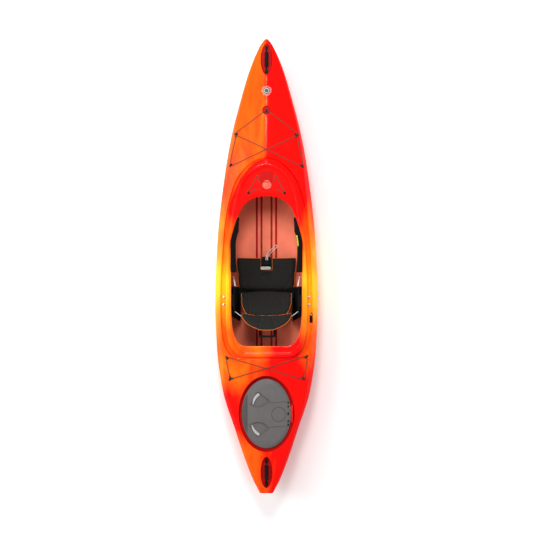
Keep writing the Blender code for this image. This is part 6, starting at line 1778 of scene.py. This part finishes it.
class KAYAK_OT_hatch(bpy.types.Operator):
    """Makes the hatch lid, with its latch pockets, ribs and levers"""
    bl_idname = "kayak.hatch"
    bl_label = "Hatch"

    def execute(self, context):
        wide, long, base = HATCH_HALF_WIDTH, HATCH_HALF_LENGTH, COVER_BASE
        rows = [(0.052, 0.070, LATCH_FLOOR - 0.0045, 0), (wide - 0.038, long - 0.038, LATCH_FLOOR - 0.0045, 0),
                (wide - 0.030, long - 0.030, base, 0), (wide - 0.0015, long - 0.0015, base,
                                                        0), (wide, long, base + 0.0015, 0),
                (wide, long, base + 0.0078, 0), (wide - 0.0009, long - 0.0009, base + 0.0105, 0),
                (wide - 0.0035, long - 0.0035, base + 0.0122, 0), (wide - 0.010, long - 0.010, base + 0.0140,
                                                                   0),
                (0.140, 0.224, base + 0.0168, 0.019), (0.133, 0.216, base + 0.0188, 0.022),
                (0.128, 0.210, base + 0.0197, 0.023), (0.116, 0.190, base + 0.0207, 0.022),
                (0.100, 0.160, base + 0.0219, 0.018), (0.070, 0.115, base + 0.0231, 0.010),
                (0.035, 0.060, base + 0.0239, 0.004), (0.004, 0.007, base + 0.0240, 0)]
        rings = [[(x, y, z) for x, y in oval(half, length, (shift, HATCH_Y), 112)] for half, length, z,
                 shift in rows]
        # Lid grey, its darker copy as painted shade, black as painted shade in the slots, and the hinge's red
        finishes = [finish_of(key) for key in ("lid", "lid_painted_shade", "black", "hinge")]
        cover = piece("hatch_lid_moulding", bridged(rings), "hatch_lid", finishes, "hatch_plastic",
                      replaces=["hatch_cover"], angle=32)
        for name, radius, half, sides, finish in (("knuckle", 0.0054, HINGE_HALF_LENGTH, 24, KNUCKLE),
                                                  ("pin", 0.0027, 0.0645, 16, 0)):
            cut(cover,
                lathe([(0, radius), (2 * half, radius)], HINGE_AXIS - Vector((0, half, 0)), (0, 1, 0), sides),
                name, "UNION", finish)
        cut(cover, block((HINGE_AXIS.x - 0.030, HATCH_Y - 0.052, HINGE_AXIS.z - 0.0065),
                         (HINGE_AXIS.x - 0.002, HATCH_Y + 0.052, HINGE_AXIS.z - 0.001), 0.0008), "web", "UNION",
            KNUCKLE)
        # The lid's port slope is cut as a facet and given the darker grey: painted shade
        side = bridged([[(x, y, z) for x,
                         z in ((-0.134, base + 0.024), (-0.134, base + 0.0134), (-0.166, base + 0.0114),
                                                (-0.19, base + 0.0114), (-0.19, base + 0.024))]
                        for y in (-1.3, -0.78)])
        cut(cover, side, "side_facet", finish=PAINTED_SHADE)
        for local_y, start, end in LATCHES.values():
            place = (LATCH_X, HATCH_Y + local_y)
            cut(cover, lathe([(-0.006, 0.016), (0.001, 0.016)], (*place, LATCH_FLOOR), sides=24), "pad",
                "UNION")
            cut(cover, self.pocket(place, start, end), "fan")
            cut(cover, lathe([(-0.05, 0.0063), (0.05, 0.0063)], (*place, LATCH_FLOOR), sides=24),
                "spindle_hole")
        for y, half in ((-0.961, 0.005), (-0.988, 0.004), (-1.039, 0.007), (-1.091, 0.004), (-1.118, 0.005)):
            # Slot floors take the black material: painted shade in the slots
            slot = stadium(0.0046, half + 0.0035, (0.1530, y), 6)
            cut(cover, prism(slot, base + 0.008, base + 0.05), "slot", finish=PAINTED_SLOT_SHADE)
        smoothed(cover.data, 32)
        tree = tree_of(cover)
        lines = [[(0.016, -0.9585), (0.034, -0.9595), (0.066, -0.960), (0.105, -0.957), (0.142, -0.950)],
                 [(0.018, -1.1335), (0.045, -1.131), (0.090, -1.128), (0.142, -1.127)]]
        ribs = [self.rib(tree, [(x, y, 0.0) for x, y in line]) for line in lines]
        ribs.append(self.rib(tree, [(0.0866 + 0.050 * math.cos(a), -1.043 + 0.050 * math.sin(a), 0.0)
                                    for a in (2 * math.pi * i / 24 for i in range(25))]))
        for local_y, start, end in LATCHES.values():
            place = (LATCH_X, HATCH_Y + local_y)
            rim = self.fan(place, start, end, 0.0048)
            ribs.append(self.rib(tree, [(x, y, 0.0) for x, y in rim] + [(*rim[0], 0.0)], 0.0013))
        # The ribs take the darker grey: painted shade, so that they read as grooves
        piece("hatch_lid_ribs", merged(ribs), "hatch_lid", finish_of("lid_painted_shade"), "hatch_plastic")
        for word, (local_y, start, _) in LATCHES.items():
            self.lever(word, (LATCH_X, HATCH_Y + local_y), start)
        return {"FINISHED"}

    def rib(self, tree, points, radius=0.0026):
        return tube(dropped(tree, smooth_path(points, 6), lift=-radius * 0.5), radius, 8)

    def fan(self, centre, start, end, grow=0.0):
        """Plan outline of what a lever sweeps, from a small hub to a wide rim."""
        margin, reach = 0.014 + grow, LATCH_LENGTH + 0.004 + grow
        sign = 1 if end > start else -1
        corner = math.asin(margin / reach) * sign
        quarter, back = math.pi / 2 * sign, 2 * math.pi * sign
        hub = [end + quarter + (start - quarter + back - end - quarter) * i / 14 for i in range(15)]
        rim = [start - corner + (end - start + 2 * corner) * i / 24 for i in range(25)]
        return [(centre[0] + radius * math.cos(a), centre[1] + radius * math.sin(a))
                for radius, turns in ((margin, hub), (reach, rim)) for a in turns]

    def pocket(self, centre, start, end):
        """Cutter for the fan that a lever sweeps, with sloping sides."""
        rings = []
        for z, grow in ((LATCH_FLOOR, -0.0008), (LATCH_FLOOR + 0.0008, 0.0), (LATCH_FLOOR + 0.0060, 0.0014),
                        (0.5, 0.0014)):
            ring = [(x, y, z) for x, y in self.fan(centre, start, end, grow)]
            rings.append(ring if end > start else ring[::-1])
        bm = bridged(rings)
        bm.normal_update()
        bmesh.ops.triangulate(bm, faces=bm.faces)
        return bm

    def lever(self, word, place, angle):
        """Curved lever with a round hub, a thinner tip and a thumb dish, on its spindle."""
        low = LATCH_FLOOR + 0.0007
        outline = [(0.011 * math.cos(a),
                    0.011 * math.sin(a)) for a in (math.pi + math.pi * i / 16 for i in range(17))]
        sides = [(0.0108, 0.010), (0.0092, 0.026), (0.0074, 0.045), (0.0056, 0.062), (0.0040, 0.074),
                 (0.0022, 0.0785)]
        outline += sides + [(0.0, LATCH_LENGTH)] + [(-x, y) for x, y in reversed(sides)]
        bow = -0.008 if word == "rear" else 0.008
        outline = [(x + bow * math.sin(math.pi * min(1.0, max(0.0, y / LATCH_LENGTH))), y) for x, y in outline]
        points = turned(outline, place, angle - math.pi / 2)
        shapes = [rounded_prism(points, low, low + 0.0060, 0.0016),
                  lathe([(-0.0105, 0.0095), (-0.0068, 0.0095), (-0.0066, 0.0054), (0.003, 0.0054)],
                        (*place, LATCH_FLOOR), sides=28),
                  lathe([(0.0, 0.0082), (0.0010, 0.0080), (0.0014, 0.0070), (0.0010, 0.0058), (0.0012, 0.001)],
                        (*place, low + 0.0058), sides=28)]
        piece(f"latch_lever_{word}", merged(shapes), f"latch_{word}", finish_of("lever"), "latch_plastic",
              replaces=[f"hatch_latch_{word}"])


class KAYAK_OT_cockpit_details(bpy.types.Operator):
    """Makes the thigh pads, the lifter's cleat parts, the side straps and their tabs"""
    bl_idname = "kayak.cockpit_details"
    bl_label = "Cockpit Details"

    def execute(self, context):
        for side, word in ((-1, "port"), (1, "starboard")):
            pad = puffed(f"thigh_pad_cover_{word}", [f"thigh_pad_{word}"], BOAT, finish_of("pad"),
                         0.003)
            self.web(side, word)
            if side > 0:
                self.tape(tree_of(pad))
            path = smooth_path([Vector((side * x, y, z)) for x, y, z in (
                (0.2385, -0.066, 0.172), (0.2330, -0.090, 0.196), (0.2270, -0.116, 0.214), (0.2235, -0.140,
                                                                                            0.222))], 6)
            strap = ribbon(path, [(-0.005, -0.001, 0), (0.005, 0.001, 0), (0.005, 0.001, 0.0016),
                                  (-0.005, -0.001, 0.0016)])
            piece(f"seat_strap_{word}", strap, BOAT, finish_of("white_web"), "webbing")
            tab = [(side * 0.2460, -0.056), (side * 0.2300, -0.060), (side * 0.2335, -0.086)]
            piece(f"seat_strap_tab_{word}", prism(tab, 0.1722, 0.1752), BOAT, finish_of("red_tab"), "webbing")
        self.cleat()
        return {"FINISHED"}

    def tape(self, tree):
        """Tape sewn along the inner edge of the starboard thigh pad."""
        edges = [tree.ray_cast(Vector((0.12, 0.145 + 0.005 * i, 0.300)),
                               Vector((1, 0, 0)))[0] for i in range(16)]
        path = dropped(tree, [(p.x + 0.0075, p.y, 0.0) for p in edges], lift=0.0004)
        piece("thigh_pad_tape", ribbon(path, [(-0.0065, 0, -0.0009), (0.0065, 0, -0.0009), (0.0065, 0, 0.0007),
                                              (-0.0065, 0, 0.0007)]), BOAT, finish_of("lime"), "pad_fabric")

    def web(self, side, word):
        """Sloping wing of the seat's side, between the seat and the coaming."""
        line = smooth_path([Vector((x, 0, z)) for x, z in (
            (0.187, 0.103), (0.198, 0.105), (0.204, 0.125), (0.211, 0.170), (0.221, 0.215), (0.232, 0.246),
            (0.246, 0.260), (0.262, 0.263))], 4)
        section = [(p, 0.0) for p in line] + [(p, -0.003) for p in reversed(line)]
        rings = []
        for part in (i / 14 for i in range(15)):
            ring = []
            for p, offset in section:
                front = -0.140 - 0.010 * (0.262 - p.x) / 0.064
                rear = -0.338 - 0.050 * (0.262 - p.x) / 0.064
                ring.append((side * (p.x - offset), front + (rear - front) * part, p.z + offset))
            rings.append(ring)
        piece(f"seat_wing_{word}", bridged(rings), BOAT, finish_of("seal"), "black_plastic")

    def cleat(self):
        """Cams, nose and pull tab of the leg lifter's cleat."""
        low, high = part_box("leg_lifter_cleat")
        cam = [(0.0, 0.0085), (0.0030, 0.0085), (0.0038, 0.0075), (0.0039, 0.003), (0.0030, 0.0026),
               (0.0032, 0.0008)]
        cams = [lathe(cam, (side * 0.0145, (low[1] + high[1]) / 2 + 0.006, high[2] - 0.0002), sides=28)
                for side in (-1, 1)]
        piece("leg_lifter_cams", merged(cams), BOAT, finish_of("black"), "black_plastic")
        nose = [(-0.035, 0.049), (0.035, 0.049), (0.035, 0.062), (0.024, 0.071), (-0.024, 0.071),
                (-0.035, 0.062)]
        piece("leg_lifter_nose", rounded_prism(nose, 0.0640, 0.0725, 0.0016), BOAT, finish_of("black"),
              "black_plastic")
        outline = turned(stadium(0.0118, 0.039, (0.0, 0.0), 10), (-0.006, -0.012), math.pi / 2)
        piece("leg_lifter_tab", rounded_prism(outline, high[2] + 0.0006, high[2] + 0.0050, 0.0016), BOAT,
              finish_of("lever"), "knob_plastic")


class KAYAK_OT_finishes(bpy.types.Operator):
    """Gives the parts carried over from the frame that it knows by name their finishes"""
    bl_idname = "kayak.finishes"
    bl_label = "Finishes"

    def execute(self, context):
        table = {"hatch_hinge_bracket": "hinge", "stern_bulkhead": "foam", "bow_foam_pillar": "foam",
                 "hatch_gasket": "seal", "skeg_blade": "blade", "skeg_pin": "steel", "skeg_knob": "pale"}
        black = ("seat_pan", "seat_side_", "backrest_frame", "leg_lifter_cleat", "leg_lifter_plate",
                 "foot_rail_",
                 "foot_pedal_", "skeg_box", "skeg_cleat", "skeg_fairlead", "drain_plug")
        for name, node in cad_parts.items():
            key = table.get(name)
            if "_eye_" in name:
                key = "eye"
            elif name.startswith(black) or "_handle_anchor_" in name:
                key = "black"
            for slot in node.material_slots if key else ():
                slot.material = finish_of(key)
        return {"FINISHED"}


class KAYAK_OT_stage(bpy.types.Operator):
    """Sets the pale floor, the soft lights and the camera straight above"""
    bl_idname = "kayak.stage"
    bl_label = "Studio Stage"

    def execute(self, context):
        chosen = context.scene.kayak_stage
        made, _, shader = base_material("studio_floor", 0.9)
        shader.inputs["Base Color"].default_value = (*chosen.floor_colour, 1.0)
        bm = bmesh.new()
        bmesh.ops.create_grid(bm, x_segments=2, y_segments=2, size=20.0)
        floor = piece("studio_floor", bm, None, made)
        floor.location.z = -0.001
        world = bpy.data.worlds.new("studio")
        world.use_nodes = True
        background = world.node_tree.nodes["Background"]
        background.inputs["Color"].default_value = (1.0, 1.0, 1.0, 1.0)
        background.inputs["Strength"].default_value = 0.57
        context.scene.world = world
        for name, place, size, power in (
                ("key_softbox", (-0.25, 2.1, 4.4), 1.0, 92.0), ("port_softbox", (-3.6, 0.2, 2.8), 2.8, 120.0),
                ("starboard_softbox", (4.2, -0.4, 1.8), 1.8, 36.0)):
            light = bpy.data.lights.new(name, "AREA")
            light.shape = "RECTANGLE"
            light.size = size
            light.size_y = size * 1.6
            light.energy = power
            lamp = bpy.data.objects.new(name, light)
            lamp.location = place
            lamp.rotation_euler = (Vector((0, 0, 0.2)) - Vector(place)).to_track_quat("-Z", "Y").to_euler()
            context.scene.collection.objects.link(lamp)
        context.scene.view_settings.view_transform = "Standard"
        context.scene.view_settings.look = "Medium High Contrast"
        camera = bpy.data.objects.new("overhead_camera", bpy.data.cameras.new("overhead_camera"))
        context.scene.collection.objects.link(camera)
        camera.location = (0.0, 0.0, chosen.camera_height)
        camera.data.sensor_width = 36.0
        camera.data.lens = 36.0 * (chosen.camera_height - 0.25) / chosen.frame_width
        context.scene.camera = camera
        return {"FINISHED"}


class KAYAK_PT_panel(bpy.types.Panel):
    bl_label = "Kayak"
    bl_idname = "KAYAK_PT_panel"
    bl_space_type = "VIEW_3D"
    bl_region_type = "UI"
    bl_category = "Kayak"

    def draw(self, context):
        for operator in PIECE_OPERATORS:
            self.layout.operator(operator.bl_idname)


PIECE_OPERATORS = (
    KAYAK_OT_stage, KAYAK_OT_cords, KAYAK_OT_hull, KAYAK_OT_handles, KAYAK_OT_deck_details, KAYAK_OT_hatch,
    KAYAK_OT_seat, KAYAK_OT_cockpit_details, KAYAK_OT_finishes,
)
CLASSES = (HullSettings, StageSettings, SeatSettings, FittingSettings, *PIECE_OPERATORS, KAYAK_PT_panel)


def register():
    for made in CLASSES:
        bpy.utils.register_class(made)
    bpy.types.Scene.kayak_hull = PointerProperty(type=HullSettings)
    bpy.types.Scene.kayak_stage = PointerProperty(type=StageSettings)
    bpy.types.Scene.kayak_seat = PointerProperty(type=SeatSettings)
    bpy.types.Scene.kayak_fittings = PointerProperty(type=FittingSettings)


def unregister():
    del bpy.types.Scene.kayak_fittings
    del bpy.types.Scene.kayak_seat
    del bpy.types.Scene.kayak_stage
    del bpy.types.Scene.kayak_hull
    for made in reversed(CLASSES):
        bpy.utils.unregister_class(made)


def main():
    register()
    for operator in PIECE_OPERATORS:
        group, name = operator.bl_idname.split(".")
        getattr(getattr(bpy.ops, group), name)()


if __name__ == "__main__":
    main()
